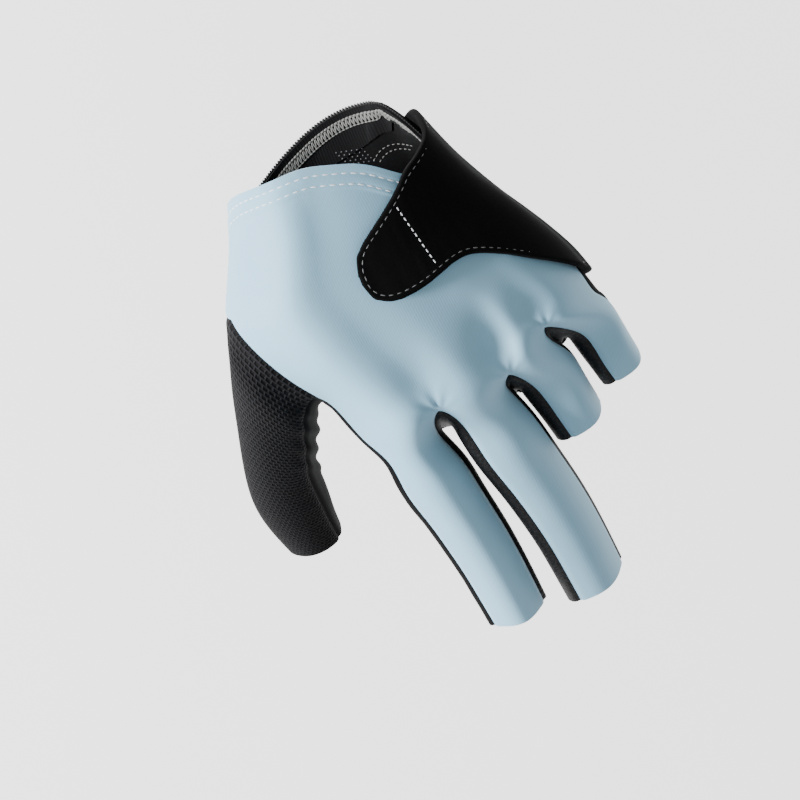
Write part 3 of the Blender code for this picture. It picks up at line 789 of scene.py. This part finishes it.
def new_mesh_object(name, points, faces, uvs=None, material=None):
    mesh = bpy.data.meshes.new(name)
    points = np.asarray(points, np.float32)
    counts = np.array([len(f) for f in faces], np.int32)
    corners = np.concatenate([np.asarray(f, np.int32) for f in faces])
    mesh.vertices.add(len(points))
    mesh.vertices.foreach_set("co", points.ravel())
    mesh.loops.add(len(corners))
    mesh.loops.foreach_set("vertex_index", corners)
    mesh.polygons.add(len(counts))
    mesh.polygons.foreach_set("loop_start", np.concatenate([[0], np.cumsum(counts)[:-1]]).astype(np.int32))
    mesh.polygons.foreach_set("loop_total", counts)
    if uvs is not None:
        layer = mesh.uv_layers.new(name="cut")
        layer.data.foreach_set("uv", np.asarray(uvs, np.float32).ravel())
    mesh.update(calc_edges=True)
    mesh.validate()
    if material:
        mesh.materials.append(material)
        mesh.shade_smooth()
        mesh.set_sharp_from_angle(angle=math.radians(55))
    made = bpy.data.objects.new(name, mesh)
    bpy.context.scene.collection.objects.link(made)
    return made


def evaluated(made):
    bpy.context.view_layer.update()
    return made.evaluated_get(bpy.context.evaluated_depsgraph_get()).data


def coordinates(mesh):
    co = np.empty(len(mesh.vertices) * 3, np.float32)
    mesh.vertices.foreach_get("co", co)
    return co.reshape(-1, 3).astype(float)


def build_cage():
    cage = Cage()
    add_body_points(cage)
    add_body_faces(cage)
    for number, finger in enumerate(FINGERS):
        add_finger(cage, number, finger)
    add_thumb(cage)
    return cage


def cut_coordinates(cage):
    """UV corners in metres, as the cloth was cut: x across and the length along the finger."""
    names = {i: key for key, i in cage.index.items()}
    points = np.array(cage.points)
    uvs = []
    for face, tag in zip(cage.faces, cage.tags):
        keys = [names[i] for i in face]
        thumb = list(PANELS)[tag].startswith("thumb")
        for i, key in zip(face, keys):
            x, y, z = points[i]
            if thumb:
                if key[0] == "thumb":
                    ring, m = key[1], key[2]
                else:
                    ring, m = 0, key[1] - THUMB_FIRST if key[0] == "back" else THUMB_LAST + 5 - key[1]
                wrap = 10 if m == 0 and any(k[0] == "thumb" and k[2] == 9 or k == thumb_key(0, 9) for k in keys) else 0
                along = THUMB_RINGS[ring - 1].along if ring else 0
                uvs.append(((m + wrap) * 0.0066, along * THUMB_LENGTH * 1.18))
                continue
            sides = {k[3] if k[0] == "finger" else k[0] for k in keys}
            length = -y
            if key[0] == "finger":
                finger = FINGERS[key[1]]
                ring = RINGS[finger.name][key[2] - 1]
                length = finger_root_along(key[1]) * BODY_LENGTH + ring.along * finger.length * 1.06
            uvs.append((z + 0.3 if len(sides) > 1 else x, length))
    return uvs


class Skin:
    """The evaluated skin as arrays, with a tree to lay pieces on it."""

    def __init__(self, guide):
        mesh = evaluated(guide)
        self.points = coordinates(mesh)
        normals = np.empty(len(mesh.vertices) * 3, np.float32)
        mesh.vertices.foreach_get("normal", normals)
        self.normals = normals.reshape(-1, 3).astype(float)
        corners = np.empty(len(mesh.loops), np.int32)
        mesh.loops.foreach_get("vertex_index", corners)
        self.faces = corners.reshape(-1, 4)
        tags = np.empty(len(mesh.polygons), np.int32)
        mesh.polygons.foreach_get("material_index", tags)
        self.tags = tags
        if mesh.uv_layers:
            uv = np.empty(len(mesh.loops) * 2, np.float32)
            mesh.uv_layers["cut"].data.foreach_get("uv", uv)
            self.uvs = uv.reshape(-1, 4, 2)
        self.tree = BVHTree.FromPolygons([Vector(p) for p in self.points], self.faces.tolist())


def make_skins():
    """The part's own skin, and the same skin subdivided further."""
    cage = build_cage()
    guide = new_mesh_object("skin_guide", cage.points, cage.faces, cut_coordinates(cage))
    guide.data.polygons.foreach_set("material_index", cage.tags)
    smooth = guide.modifiers.new("skin", "SUBSURF")
    smooth.levels = smooth.render_levels = 1
    wanted = np.array(cage.points)
    control = wanted.copy()
    for _ in range(FIT_ROUNDS):
        reached = coordinates(evaluated(guide))[: len(wanted)]
        control += wanted - reached
        guide.data.vertices.foreach_set("co", control.astype(np.float32).ravel())
        guide.data.update()
    coarse = Skin(guide)
    smooth.levels = smooth.render_levels = SKIN_LEVELS
    fine = Skin(guide)
    bpy.data.objects.remove(guide)
    return cage, coarse, fine


def border_edges(faces):
    """The directed edges that only one of the faces has."""
    faces = np.asarray(faces)
    sides = {(int(a), int(b)) for a, b in zip(np.roll(faces, 1, axis=1).ravel(), faces.ravel())}
    return [side for side in sides if (side[1], side[0]) not in sides]


def chains(edges):
    """Directed edges joined into runs of vertices."""
    after = dict(edges)
    starts = [a for a, _ in edges if a not in set(after.values())]
    runs, seen = [], set()
    for start in starts + [a for a, _ in edges]:
        if start in seen:
            continue
        run = [start]
        seen.add(start)
        while run[-1] in after and after[run[-1]] not in seen:
            run.append(after[run[-1]])
            seen.add(run[-1])
        if run[-1] in after and after[run[-1]] == start:
            run.append(start)
        runs.append(run)
    return runs


def distance_to(points, marks):
    tree = KDTree(len(marks))
    for i, mark in enumerate(marks):
        tree.insert(Vector(mark), i)
    tree.balance()
    return np.array([tree.find(Vector(p))[2] for p in points])


def cut_panel(fine, name, lift, material):
    """A panel of the fine skin as a closed wall, with its surface lifted by `lift` (metres, a value for each point)."""
    chosen = np.flatnonzero(fine.tags == TAGS[name])
    faces = fine.faces[chosen]
    uvs = fine.uvs[chosen]
    edges = border_edges(faces)
    outer = fine.points + fine.normals * lift[:, None]
    inner = fine.points - fine.normals * PANELS[name]
    used = np.unique(faces)
    place = np.full(len(fine.points), -1)
    place[used] = np.arange(len(used))
    top = place[faces]
    low = top[:, ::-1] + len(used)
    rim = [[place[b], place[a], place[a] + len(used), place[b] + len(used)] for a, b in edges]
    seam_uv = {}
    for face, uv in zip(faces, uvs):
        for v, corner in zip(face, uv):
            seam_uv[int(v)] = corner
    rim_uvs = [seam_uv[v] for a, b in edges for v in (b, a, a, b)]
    all_faces = top.tolist() + low.tolist() + rim
    all_uvs = np.concatenate([uvs.reshape(-1, 2), uvs[:, ::-1].reshape(-1, 2), np.array(rim_uvs)])
    made = new_mesh_object(name + "_cloth", np.concatenate([outer[used], inner[used]]), all_faces, all_uvs, material)
    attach(made, "root")
    return made


# Stitches


def unit_stitch():
    """One lying stitch, a unit long, wide and high: blunt ends, fat middle."""
    rings = [(-0.5, 0.0), (-0.4, 0.62), (0.0, 1.0), (0.4, 0.62), (0.5, 0.0)]
    points, faces = [(-0.5, 0, 0)], []
    for x, r in rings[1:-1]:
        points += [(x, r / 2 * math.cos(i * math.tau / 6), r / 2 * math.sin(i * math.tau / 6)) for i in range(6)]
    points.append((0.5, 0, 0))
    for i in range(6):
        j = (i + 1) % 6
        faces.append([0, 1 + j, 1 + i])
        faces.append([19, 13 + i, 13 + j])
        for ring in (1, 7):
            faces.append([ring + i, ring + j, ring + 6 + j, ring + 6 + i])
    return np.array(points), faces


STITCH = unit_stitch()


def lay_stitches(name, starts, ends, ups, width, height, material):
    """Stitches between starts and ends, standing along ups, as one piece."""
    shape, shape_faces = STITCH
    starts, ends, ups = (np.asarray(a, float) for a in (starts, ends, ups))
    along = ends - starts
    side = np.cross(ups, along)
    side /= np.linalg.norm(side, axis=1, keepdims=True)
    up = np.cross(along, side)
    up /= np.linalg.norm(up, axis=1, keepdims=True)
    middle = (starts + ends) / 2
    points = (
        middle[:, None]
        + shape[None, :, 0:1] * along[:, None]
        + shape[None, :, 1:2] * side[:, None] * width
        + shape[None, :, 2:3] * up[:, None] * height
    )
    faces = [[v + i * len(shape) for v in f] for i in range(len(starts)) for f in shape_faces]
    made = new_mesh_object(name, points.reshape(-1, 3), faces, material=MATERIALS[material])
    made.data.shade_smooth()
    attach(made, "root")
    return made


def along_path(path, ups, at):
    """Points and upward directions at lengths along a path."""
    steps = np.linalg.norm(np.diff(path, axis=0), axis=1)
    length = np.concatenate([[0], np.cumsum(steps)])
    point = np.stack([np.interp(at, length, path[:, i]) for i in range(3)], axis=1)
    up = np.stack([np.interp(at, length, ups[:, i]) for i in range(3)], axis=1)
    return point, up


def path_length(path):
    return float(np.linalg.norm(np.diff(path, axis=0), axis=1).sum())


def at_share(path, ups, share):
    """Points and upward directions at shares of a path's length."""
    return along_path(path, ups, np.clip(share, 0, 1) * path_length(path))


def stitch_row(name, path, ups, material, pitch=3.0, share=0.72, width=0.55, height=0.45):
    """A lockstitch row along a path. Sizes in millimetres; share is the part of the pitch that a stitch covers."""
    total = path_length(path)
    count = max(int(total / (pitch * MM)), 1)
    step = total / count
    first = np.arange(count) * step + step * (1 - share) / 2
    starts, up = along_path(path, ups, first)
    ends, _ = along_path(path, ups, first + step * share)
    sink = up * 0.12 * height * MM
    return lay_stitches(name, starts - sink, ends - sink, up, width * MM, height * MM, material)


# Edges of the panels, and slabs


def smooth_step(t):
    t = np.clip(t, 0, 1)
    return t * t * (3 - 2 * t)


def panel_edges(fine, name, free):
    """Runs of the panel's border that are free edges of the glove, or else that are seams."""
    faces = fine.faces[fine.tags == TAGS[name]]
    outline = border_edges(faces)
    glove = {frozenset(edge) for edge in border_edges(fine.faces)}
    return faces, chains([edge for edge in outline if (frozenset(edge) in glove) == free])


def inward_at(fine, faces, run):
    """Directions in the cloth that lead away from the edge, at each vertex of a run."""
    owner = {}
    for face in faces:
        for i in range(4):
            owner[(int(face[i - 1]), int(face[i]))] = face
    ways = []
    for i, v in enumerate(run):
        pulls = []
        for a, b in ((run[i - 1], v), (v, run[(i + 1) % len(run)])):
            face = owner.get((a, b))
            if face is not None:
                corner = fine.points[face]
                normal = np.cross(corner[2] - corner[0], corner[3] - corner[1])
                pulls.append(unit(np.cross(normal, fine.points[b] - fine.points[a])))
        ways.append(unit(sum(pulls)))
    ways = np.array(ways)
    for _ in range(6):
        ways[1:-1] = (ways[:-2] + ways[1:-1] * 2 + ways[2:]) / 4
        ways /= np.linalg.norm(ways, axis=1, keepdims=True)
    return ways


def inset_path(points, ways, distance, tree):
    """The points moved inwards by a distance and dropped on a surface, with its upward directions."""
    path, ups = [], []
    for point, way in zip(points, ways):
        spot, normal, _, _ = tree.find_nearest(Vector(point + way * distance))
        path.append(spot[:])
        ups.append(normal[:])
    path, ups = np.array(path), np.array(ups)
    for _ in range(4):
        ups[1:-1] = (ups[:-2] + ups[1:-1] * 2 + ups[2:]) / 4
        path[1:-1] = (path[:-2] + path[1:-1] * 2 + path[2:]) / 4
    return path, ups


def spread(grid, rows, cols):
    """A grid resampled smoothly at fractional rows and columns (Catmull-Rom)."""

    def along_first(values, at):
        at = np.clip(at, 0, len(values) - 1 - 1e-9)
        i = at.astype(int)
        t = (at - i)[:, None, None]
        last = len(values) - 1
        a, b, c, d = (values[np.clip(i + k, 0, last)] for k in (-1, 0, 1, 2))
        return b + 0.5 * t * (c - a + t * (2 * a - 5 * b + 4 * c - d + t * (3 * (b - c) + d - a)))

    once = along_first(grid, rows)
    return np.swapaxes(along_first(np.swapaxes(once, 0, 1), cols), 0, 1)


def rounded_slab(name, grid, low, high, material, radius=0.7 * MM, dense=4):
    """A slab over a grid with rounded edges. Returns the piece, the grid of its top, and a tree of that."""

    def stations(count):
        inner = np.linspace(0.5, count - 1.5, (count - 2) * dense + 1)
        near = np.array([0, 0.03, 0.08, 0.16, 0.3])
        return np.concatenate([near, inner, count - 1 - near[::-1]])

    rows, cols = stations(grid.shape[0]), stations(grid.shape[1])
    fine_grid = spread(grid, rows, cols)
    normal = grid_normals(fine_grid)
    edge = np.concatenate([fine_grid[0], fine_grid[:, -1], fine_grid[-1][::-1], fine_grid[:, 0][::-1]])
    away = distance_to(fine_grid.reshape(-1, 3), edge).reshape(fine_grid.shape[:2])
    drop = radius - np.sqrt(np.maximum(radius**2 - np.maximum(radius - away, 0) ** 2, 0))
    top = fine_grid + normal * (high - drop)[:, :, None]
    under = fine_grid + normal * (low + drop * 0.6)[:, :, None]
    shape = fine_grid.shape[:2]
    faces = grid_faces(*shape)
    count = shape[0] * shape[1]
    rim = [[b, a, a + count, b + count] for a, b in border_edges(faces)]
    all_faces = faces + [[v + count for v in reversed(f)] for f in faces] + rim
    points = np.concatenate([top.reshape(-1, 3), under.reshape(-1, 3)])
    made = new_mesh_object(name, points, all_faces, material=MATERIALS[material])
    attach(made, "root")
    return made, top, BVHTree.FromPolygons([Vector(p) for p in top.reshape(-1, 3)], faces)


def ease_edge(fine, run, chosen, rounds, reach):
    """Draws an edge of the cloth into a smoother curve, and the chosen cloth beside it along."""
    even = fine.points[run].copy()
    for _ in range(rounds):
        even[1:-1] = (even[:-2] + even[1:-1] * 2 + even[2:]) / 4
    shift = even - fine.points[run]
    marks = KDTree(len(run))
    for i, v in enumerate(run):
        marks.insert(Vector(fine.points[v]), i)
    marks.balance()
    for v in np.flatnonzero(chosen):
        near = marks.find_n(Vector(fine.points[v]), 6)
        away = near[0][2]
        if away < 3.2 * reach:
            pull = sum(shift[i] for _, i, _ in near) / len(near)
            fine.points[v] += (shift[near[0][1]] if away == 0 else pull) * math.exp(-((away / reach) ** 2))


def shape_cloth(fine):
    """The cuff's edge drawn up in an arc on the palm side, and the folds where the thumb bends."""
    owners = {}
    for face, tag in zip(fine.faces.tolist(), fine.tags.tolist()):
        for v in face:
            owners.setdefault(v, set()).add(tag)
    palm_side = {TAGS["cuff_band"], TAGS["palm_panel"]}
    on_palm = np.array([owners[v] <= palm_side for v in range(len(fine.points))])
    on_back = np.array([TAGS["back_panel"] in owners[v] for v in range(len(fine.points))])
    on_thumb = np.array([owners[v] <= {TAGS["thumb_back"], TAGS["thumb_front"]} for v in range(len(fine.points))])
    _, runs = panel_edges(fine, "cuff_band", True)
    edge = fine.points[max(runs, key=len)]
    across = fine.points @ SIDEWAYS / MM
    arc = np.interp(across, *zip(*CUFF_ARC)) * MM
    near_edge = np.exp(-((distance_to(fine.points, edge) / (9 * MM)) ** 2))
    clear = smooth_step(distance_to(fine.points, fine.points[on_back]) / (7 * MM))
    fine.points += (on_palm * arc * near_edge * clear)[:, None] * UPWARDS
    ease_edge(fine, max(runs, key=len), on_palm, 300, 10 * MM)
    ease_edge(fine, hem_run(fine)[1], on_back, 110, 7 * MM)
    x, y, _ = fine.points.T
    beside = (x - 17 * MM - 0.09 * (y + 78 * MM)) / (5.5 * MM)
    dip = np.exp(-(beside**2)) * np.exp(-(((y + 65 * MM) / (13 * MM)) ** 2))
    fine.points[:, 2] -= on_back * KNUCKLE_DIP * dip
    along = fine.points @ UPWARDS / MM
    folds = np.cos(math.tau * along / THUMB_FOLD_PITCH) * smooth_step((along + 93) / 5) * smooth_step((-72 - along) / 5)
    facing = np.clip(fine.normals @ SIDEWAYS, 0, 1) ** 2
    fine.points += (on_thumb * 0.55 * MM * folds * facing)[:, None] * fine.normals
    fine.tree = BVHTree.FromPolygons([Vector(p) for p in fine.points], fine.faces.tolist())


# Directions across and up the picture that the camera takes, and the cuff's rise (both in mm) across it
SIDEWAYS = np.array([0.883, -0.459, 0.098])
UPWARDS = np.array([0.469, 0.864, -0.184])
CUFF_ARC = (
    (-21.2, 0), (-16.8, 1.6), (-11.0, 4.2), (-3.8, 5.8), (4.9, 4.0), (13.6, 1.8), (20.0, 3.8), (26.0, 3.4), (31.0, 0)
)
# The folds of the thumb, from one to the next along the picture's height, in mm
THUMB_FOLD_PITCH = 5.6
# How deep the cloth dips between the knuckles of the middle and ring finger
KNUCKLE_DIP = 2.1 * MM


# The overlock's two edges, from the cuff's edge, and the distance between its loops in mm
OVERLOCK_INSETS = (2.2 * MM, 5.0 * MM)
OVERLOCK_PITCH = 1.2
# The angle round the wrist where the strap starts to rise onto its hook tape
STRAP_RISE_DEG = 15
# The hem's rows of stitches, in mm from the wrist edge
HEM_ROWS = (2.6, 5.7)
# Where the back's puckers start: the column of the body's cage, their reach and the valley's depth in mm
CROTCH_FOLDS = ((2, 7.0, 0.5), (4, 6.0, 0.4), (6, 5.0, 0.5))
# Edges of the back panel beyond this y are its wrist hem
WRIST_END = -0.02


def hem_run(fine):
    """The back panel's faces, and the vertices of its wrist hem."""
    faces, runs = panel_edges(fine, "back_panel", True)
    return faces, max((run for run in runs if fine.points[run][:, 1].max() > WRIST_END), key=len)


def cuff_run(fine):
    """The cuff band's faces, and the vertices of its free edge."""
    faces, runs = panel_edges(fine, "cuff_band", True)
    return faces, max(runs, key=len)


def skin_lift(cage, fine):
    """How far seams, hem, puckers and rumples lift each point of the skin, in metres."""
    tags_at = [0] * len(fine.points)
    for face, tag in zip(fine.faces.tolist(), fine.tags.tolist()):
        for v in face:
            tags_at[v] |= 1 << tag
    tags_at = np.array(tags_at)
    seam = (tags_at & (tags_at - 1)) > 0
    to_seam = distance_to(fine.points, fine.points[seam])
    lift = -0.40 * MM * np.exp(-((to_seam / (0.75 * MM)) ** 2))
    lift += 0.10 * MM * np.exp(-(((to_seam - 2.0 * MM) / (1.2 * MM)) ** 2))
    on_back = (tags_at & (1 << TAGS["back_panel"])) > 0

    to_hem = distance_to(fine.points, fine.points[hem_run(fine)[1]])
    folded = 1 - smooth_step((to_hem - 6.2 * MM) / (1.0 * MM))
    rows = sum(np.exp(-(((to_hem - d * MM) / (0.55 * MM)) ** 2)) for d in HEM_ROWS)
    lift += on_back * (0.28 * MM * folded - 0.16 * MM * rows)

    x, y, _ = fine.points.T
    for crotch, reach, depth in CROTCH_FOLDS:
        centre = cage.points[cage.index[("back", len(ROW_SHARES) - 1, crotch)]]
        dx, dy = x - centre[0], y - centre[1]
        away = np.hypot(dx, dy)
        angle = np.arctan2(dx, dy)
        fan = np.cos(angle * 9 + crotch) * np.exp(-((angle / 1.1) ** 2))
        lift += on_back * 0.42 * MM * fan * smooth_step(away / (1.5 * MM)) * np.exp(-((away / (reach * MM)) ** 2))
        valley = np.exp(-(((dx - 0.12 * dy) / (6.0 * MM)) ** 2)) * np.exp(-(((dy - 8 * MM) / (16 * MM)) ** 2))
        lift -= on_back * depth * MM * valley
    soft_side = (tags_at & (1 << TAGS["palm_panel"] | 1 << TAGS["thumb_front"])) > 0
    rumple = np.array([noise.noise(Vector((p[0] * 70, p[1] * 110, p[2] * 70))) for p in fine.points])
    lift += soft_side * 0.55 * MM * rumple * smooth_step(to_seam / (5 * MM))
    return lift


def row_inside(top, distance, tree, closed):
    """A path along the edges of a slab's top, a distance inside them. An open one leaves out the first row."""
    step = 8
    sides = [
        (top[:, 0], top[:, step] - top[:, 0]),
        (top[-1], top[-1 - step] - top[-1]),
        (top[::-1, -1], top[::-1, -1 - step] - top[::-1, -1]),
    ]
    if closed:
        sides.append((top[0, ::-1], top[step, ::-1] - top[0, ::-1]))
    edge = np.concatenate([points for points, _ in sides])
    inward = np.concatenate([ways for _, ways in sides])
    inward /= np.linalg.norm(inward, axis=1, keepdims=True)
    for _ in range(12):
        inward[1:-1] = (inward[:-2] + inward[1:-1] + inward[2:]) / 3
    inward /= np.linalg.norm(inward, axis=1, keepdims=True)
    path, ups = inset_path(edge, inward, distance, tree)
    kept = distance_to(path, edge) > 0.7 * distance
    path, ups = path[kept], ups[kept]
    for _ in range(8):
        path[1:-1] = (path[:-2] + path[1:-1] * 2 + path[2:]) / 4
    apart = np.concatenate([[True], np.linalg.norm(np.diff(path, axis=0), axis=1) > 0.02 * MM])
    return path[apart], ups[apart]


# The glove

cage, coarse, fine = make_skins()
MATERIALS = {
    "jersey": blue_jersey(),
    "microfibre": black_microfibre(),
    "gusset": black_gusset(),
    "mesh": black_air_mesh(),
    "elastic": black_elastic(),
    "neoprene": black_neoprene(),
    "hook": black_microfibre(),
    "white_thread": thread("white_polyester_thread", "F4F6FA"),
    "grey_thread": thread("grey_textured_thread", "767672", 0.05),
    "dim_thread": thread("pale_polyester_thread", "6A6B6D", 0.05),
    "elastic_edge": thread("black_elastic_yarn", "0C0C0E", 0.0),
}
PANEL_CLOTH = {"back_panel": "jersey", "cuff_band": "elastic", "thumb_back": "mesh"}
for gusset in GUSSETS:
    PANEL_CLOTH[gusset] = "gusset"


shape_cloth(fine)
lift = skin_lift(cage, fine)
for panel in PANELS:
    piece = cut_panel(fine, panel, lift, MATERIALS[PANEL_CLOTH.get(panel, "microfibre")])
    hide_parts(panel)
dressed = BVHTree.FromPolygons([Vector(p) for p in fine.points + fine.normals * lift[:, None]], fine.faces.tolist())

# Hem: two rows of white lockstitch. The first points lie in the side seam and are left out
hem_faces, hem = hem_run(fine)
hem_ways = inward_at(fine, hem_faces, hem)
for count, distance in enumerate(HEM_ROWS):
    path, ups = inset_path(fine.points[hem], hem_ways, distance * MM, dressed)
    name = f"hem_stitches_{count + 1}"
    stitch_row(name, path[3:], ups[3:], "white_thread", pitch=2.7, share=0.76, width=0.5, height=0.42)

# Inside of the cuff: overlock stitching, and the yarn beads of the elastic's edge
cuff_faces, cuff = cuff_run(fine)
cuff_ways = inward_at(fine, cuff_faces, cuff)
inner_points, inner_faces = [], []
for name in ("cuff_band", "palm_panel"):
    inner_faces += (fine.faces[fine.tags == TAGS[name]] + len(inner_points) * len(fine.points)).tolist()
    inner_points.append(fine.points - fine.normals * PANELS[name])
inside = BVHTree.FromPolygons([Vector(p) for p in np.concatenate(inner_points)], [f[::-1] for f in inner_faces])
inner_edge = fine.points[cuff] - fine.normals[cuff] * BAND_WALL
near, near_up = inset_path(inner_edge, cuff_ways, OVERLOCK_INSETS[0], inside)
far, far_up = inset_path(inner_edge, cuff_ways, OVERLOCK_INSETS[1], inside)
units = int(path_length(near) / (OVERLOCK_PITCH * MM))
share = np.arange(units + 1) / units
near_spots, near_ups = at_share(near, near_up, share)
far_spots, far_ups = at_share(far, far_up, share + 0.5 / units)
near_spots += near_ups * 0.15 * MM
far_spots += far_ups * 0.15 * MM
for name, starts, ends, ups in (
    ("overlock_loops_1", near_spots[:-1], far_spots[:-1], near_ups[:-1]),
    ("overlock_loops_2", far_spots[:-1], near_spots[1:], near_ups[1:]),
):
    lay_stitches(name, starts, ends, ups, 0.66 * MM, 0.45 * MM, "grey_thread")
for name, path, ups, share, width, height in (
    ("overlock_edge_upper", near, near_up, 1.25, 0.8, 0.6),
    ("overlock_edge_lower", far, far_up, 1.2, 0.5, 0.45),
):
    stitch_row(name, path + ups * 0.2 * MM, ups, "grey_thread", OVERLOCK_PITCH, share, width, height)
edge_line = fine.points[cuff] - fine.normals[cuff] * BAND_WALL / 2
stitch_row(
    "cuff_edge_beads", edge_line, fine.normals[cuff], "elastic_edge", pitch=0.95, share=1.1, width=2.0, height=0.4
)

# Closing strap: it rises from the skin to lie on the hook tape
first, last = STRAP[0].angle_deg, STRAP[-1].angle_deg
portion = np.linspace(0, 1, STRAP_LENGTH_STEPS)
angles = first + (last - first) * (1 - (1 - portion) ** 1.25)
rise = np.clip((angles - STRAP_RISE_DEG) / (HOOK_ANGLES_DEG[0] - STRAP_RISE_DEG), 0, 1)
laid = seated(strap_grid(Form(coarse), angles), coarse, LAY_GAP + (LAY_GAP + HOOK_WALL) * rise)
strap, strap_top, strap_tree = rounded_slab("closing_strap_foam", laid, 0, STRAP_WALL, "neoprene")
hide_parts("closing_strap")
held = np.flatnonzero((angles >= HOOK_ANGLES_DEG[0]) & (angles <= HOOK_ANGLES_DEG[1]))
tape = laid[held[0] : held[-1] + 1, 1:-1]
hook, _, _ = rounded_slab("hook_tape", tape, -LAY_GAP - HOOK_WALL, -LAY_GAP, "hook", radius=0.3 * MM)
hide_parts("hook_patch")
path, ups = row_inside(strap_top, 1.8 * MM, strap_tree, closed=False)
stitch_row("strap_stitches", path, ups, "dim_thread", pitch=2.4, share=0.64, width=0.38, height=0.28)
line = []
for t in np.linspace(0, 1, 40):
    x, y = (10.7 + 2.5 * t) * MM, (-17.3 - 20.0 * t) * MM
    spot, normal, _, _ = strap_tree.ray_cast(Vector((x, y, 0.2)), Vector((0, 0, -1)))
    if spot is not None:
        line.append((spot[:], normal[:]))
path, ups = (np.array(column) for column in zip(*line))
stitch_row("strap_cross_stitches", path, ups, "white_thread", pitch=1.7, share=0.68, width=0.5, height=0.4)

# Palm pad, with two rows of stitches round it
rows = []
for v in np.linspace(-0.99, 0.99, 15):
    half = PAD_WIDTH / 2 * (1 - abs(v) ** 4) ** 0.25
    spots = [(x, PAD_CENTRE_Y + v * PAD_LENGTH / 2) for x in PAD_CENTRE_X + half * np.linspace(-1, 1, 8)]
    rows.append([coarse.tree.ray_cast(Vector((x, y, -1)), Vector((0, 0, 1)))[0][:] for x, y in spots])
bed = seated(np.array(rows), coarse, np.full(len(rows), LAY_GAP))
pad, pad_top, pad_tree = rounded_slab("palm_pad_foam", bed, 0, PAD_WALL, "microfibre", radius=0.6 * MM)
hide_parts("palm_pad")
for count, distance in enumerate((1.6, 3.6)):
    path, ups = row_inside(pad_top, distance * MM, pad_tree, closed=True)
    stitch_row(f"pad_stitches_{count + 1}", path, ups, "grey_thread", pitch=2.2, share=0.66, width=0.45, height=0.35)

# What shows inside the cuff: the pad's stitches come through as two arcs, beside rows of small vents
ARCS = (
    ((11.7, -9.7), (15.6, -7.5), (19.6, -7.6), (24.2, -10.1)),
    ((13.2, -10.8), (16.4, -9.2), (19.9, -9.4), (23.3, -11.2)),
)
for count, bend in enumerate(ARCS):
    bend = np.array(bend)
    bend = spread(bend[:, None, :].repeat(2, axis=1), np.linspace(0, 2.999, 30), np.array([0.0]))[:, 0]
    found = [inside.ray_cast(Vector((x * MM, y * MM, 0.01)), Vector((0, 0, -1))) for x, y in bend]
    found = [(spot[:], (0.0, 0.0, 1.0)) for spot, _, _, _ in found if spot is not None]
    path, ups = (np.array(column) for column in zip(*found))
    name = f"pad_stitches_inside_{count + 1}"
    stitch_row(name, path, ups, "grey_thread", pitch=1.5, share=0.7, width=0.4, height=0.3)
vents, vent_ups = [], []
for row in range(5):
    for column in range(6):
        x, y = 3.4 + 1.45 * column + 0.4 * row, -2.2 - 1.2 * row - 0.5 * column
        spot, normal, _, _ = inside.ray_cast(Vector((x * MM, y * MM, 0.01)), Vector((0, 0, -1)))
        if spot is not None:
            vents.append(spot[:])
            vent_ups.append((0, 0, 1))
vents = np.array(vents)
half = np.array([0.24 * MM, 0, 0])
lay_stitches("palm_vents", vents - half, vents + half, vent_ups, 0.42 * MM, 0.2 * MM, "dim_thread")


def camera_and_light():
    """A pale floor, a camera that looks down on the back of the hand, and a soft key light from the thumb's side."""
    floor_z = -0.16
    floor = new_mesh_object(
        "studio_floor", [(-3, -3, floor_z), (3, -3, floor_z), (3, 3, floor_z), (-3, 3, floor_z)], [[0, 1, 2, 3]]
    )
    paper, _, shader = cloth("white_seamless_paper", Roughness=0.9)
    shader.inputs["Base Color"].default_value = linear("FAFAFA")
    shader.inputs["Emission Color"].default_value = (1, 1, 1, 1)
    shader.inputs["Emission Strength"].default_value = 1.1
    floor.data.materials.append(paper)
    tilt, roll, distance = math.radians(12), math.radians(28), 1.2
    right = Vector((math.cos(roll), -math.sin(roll) * math.cos(tilt), math.sin(roll) * math.sin(tilt)))
    up = Vector((math.sin(roll), math.cos(roll) * math.cos(tilt), -math.cos(roll) * math.sin(tilt)))
    back = Vector((0, math.sin(tilt), math.cos(tilt)))
    offset = (400 - 328) * 0.29 * MM, (400 - 160) * 0.29 * MM
    eye = bpy.data.cameras.new("camera")
    eye.sensor_width = 36
    eye.lens = 36 * distance / (800 * 0.29 * MM)
    eye.clip_end = 20
    camera = bpy.data.objects.new("camera", eye)
    bpy.context.scene.collection.objects.link(camera)
    turn = Matrix((right, up, back)).transposed().to_4x4()
    camera.matrix_world = Matrix.Translation(right * offset[0] - up * offset[1] + back * distance) @ turn
    bpy.context.scene.camera = camera
    world = bpy.data.worlds.new("studio")
    world.use_nodes = True
    world.node_tree.nodes["Background"].inputs["Color"].default_value = (1, 1, 1, 1)
    world.node_tree.nodes["Background"].inputs["Strength"].default_value = 0.5
    bpy.context.scene.world = world
    for name, at, size, power in (
        ("key", (-1.5, 0.5, 0.5), 0.5, 92),
        ("fill", (-0.5, -0.6, 1.3), 1.2, 6),
    ):
        lamp = bpy.data.lights.new(name, "AREA")
        lamp.size = size
        lamp.energy = power
        made = bpy.data.objects.new(name, lamp)
        made.location = at
        made.rotation_euler = (Vector((0, -0.07, 0)) - Vector(at)).to_track_quat("-Z", "Y").to_euler()
        bpy.context.scene.collection.objects.link(made)


camera_and_light()
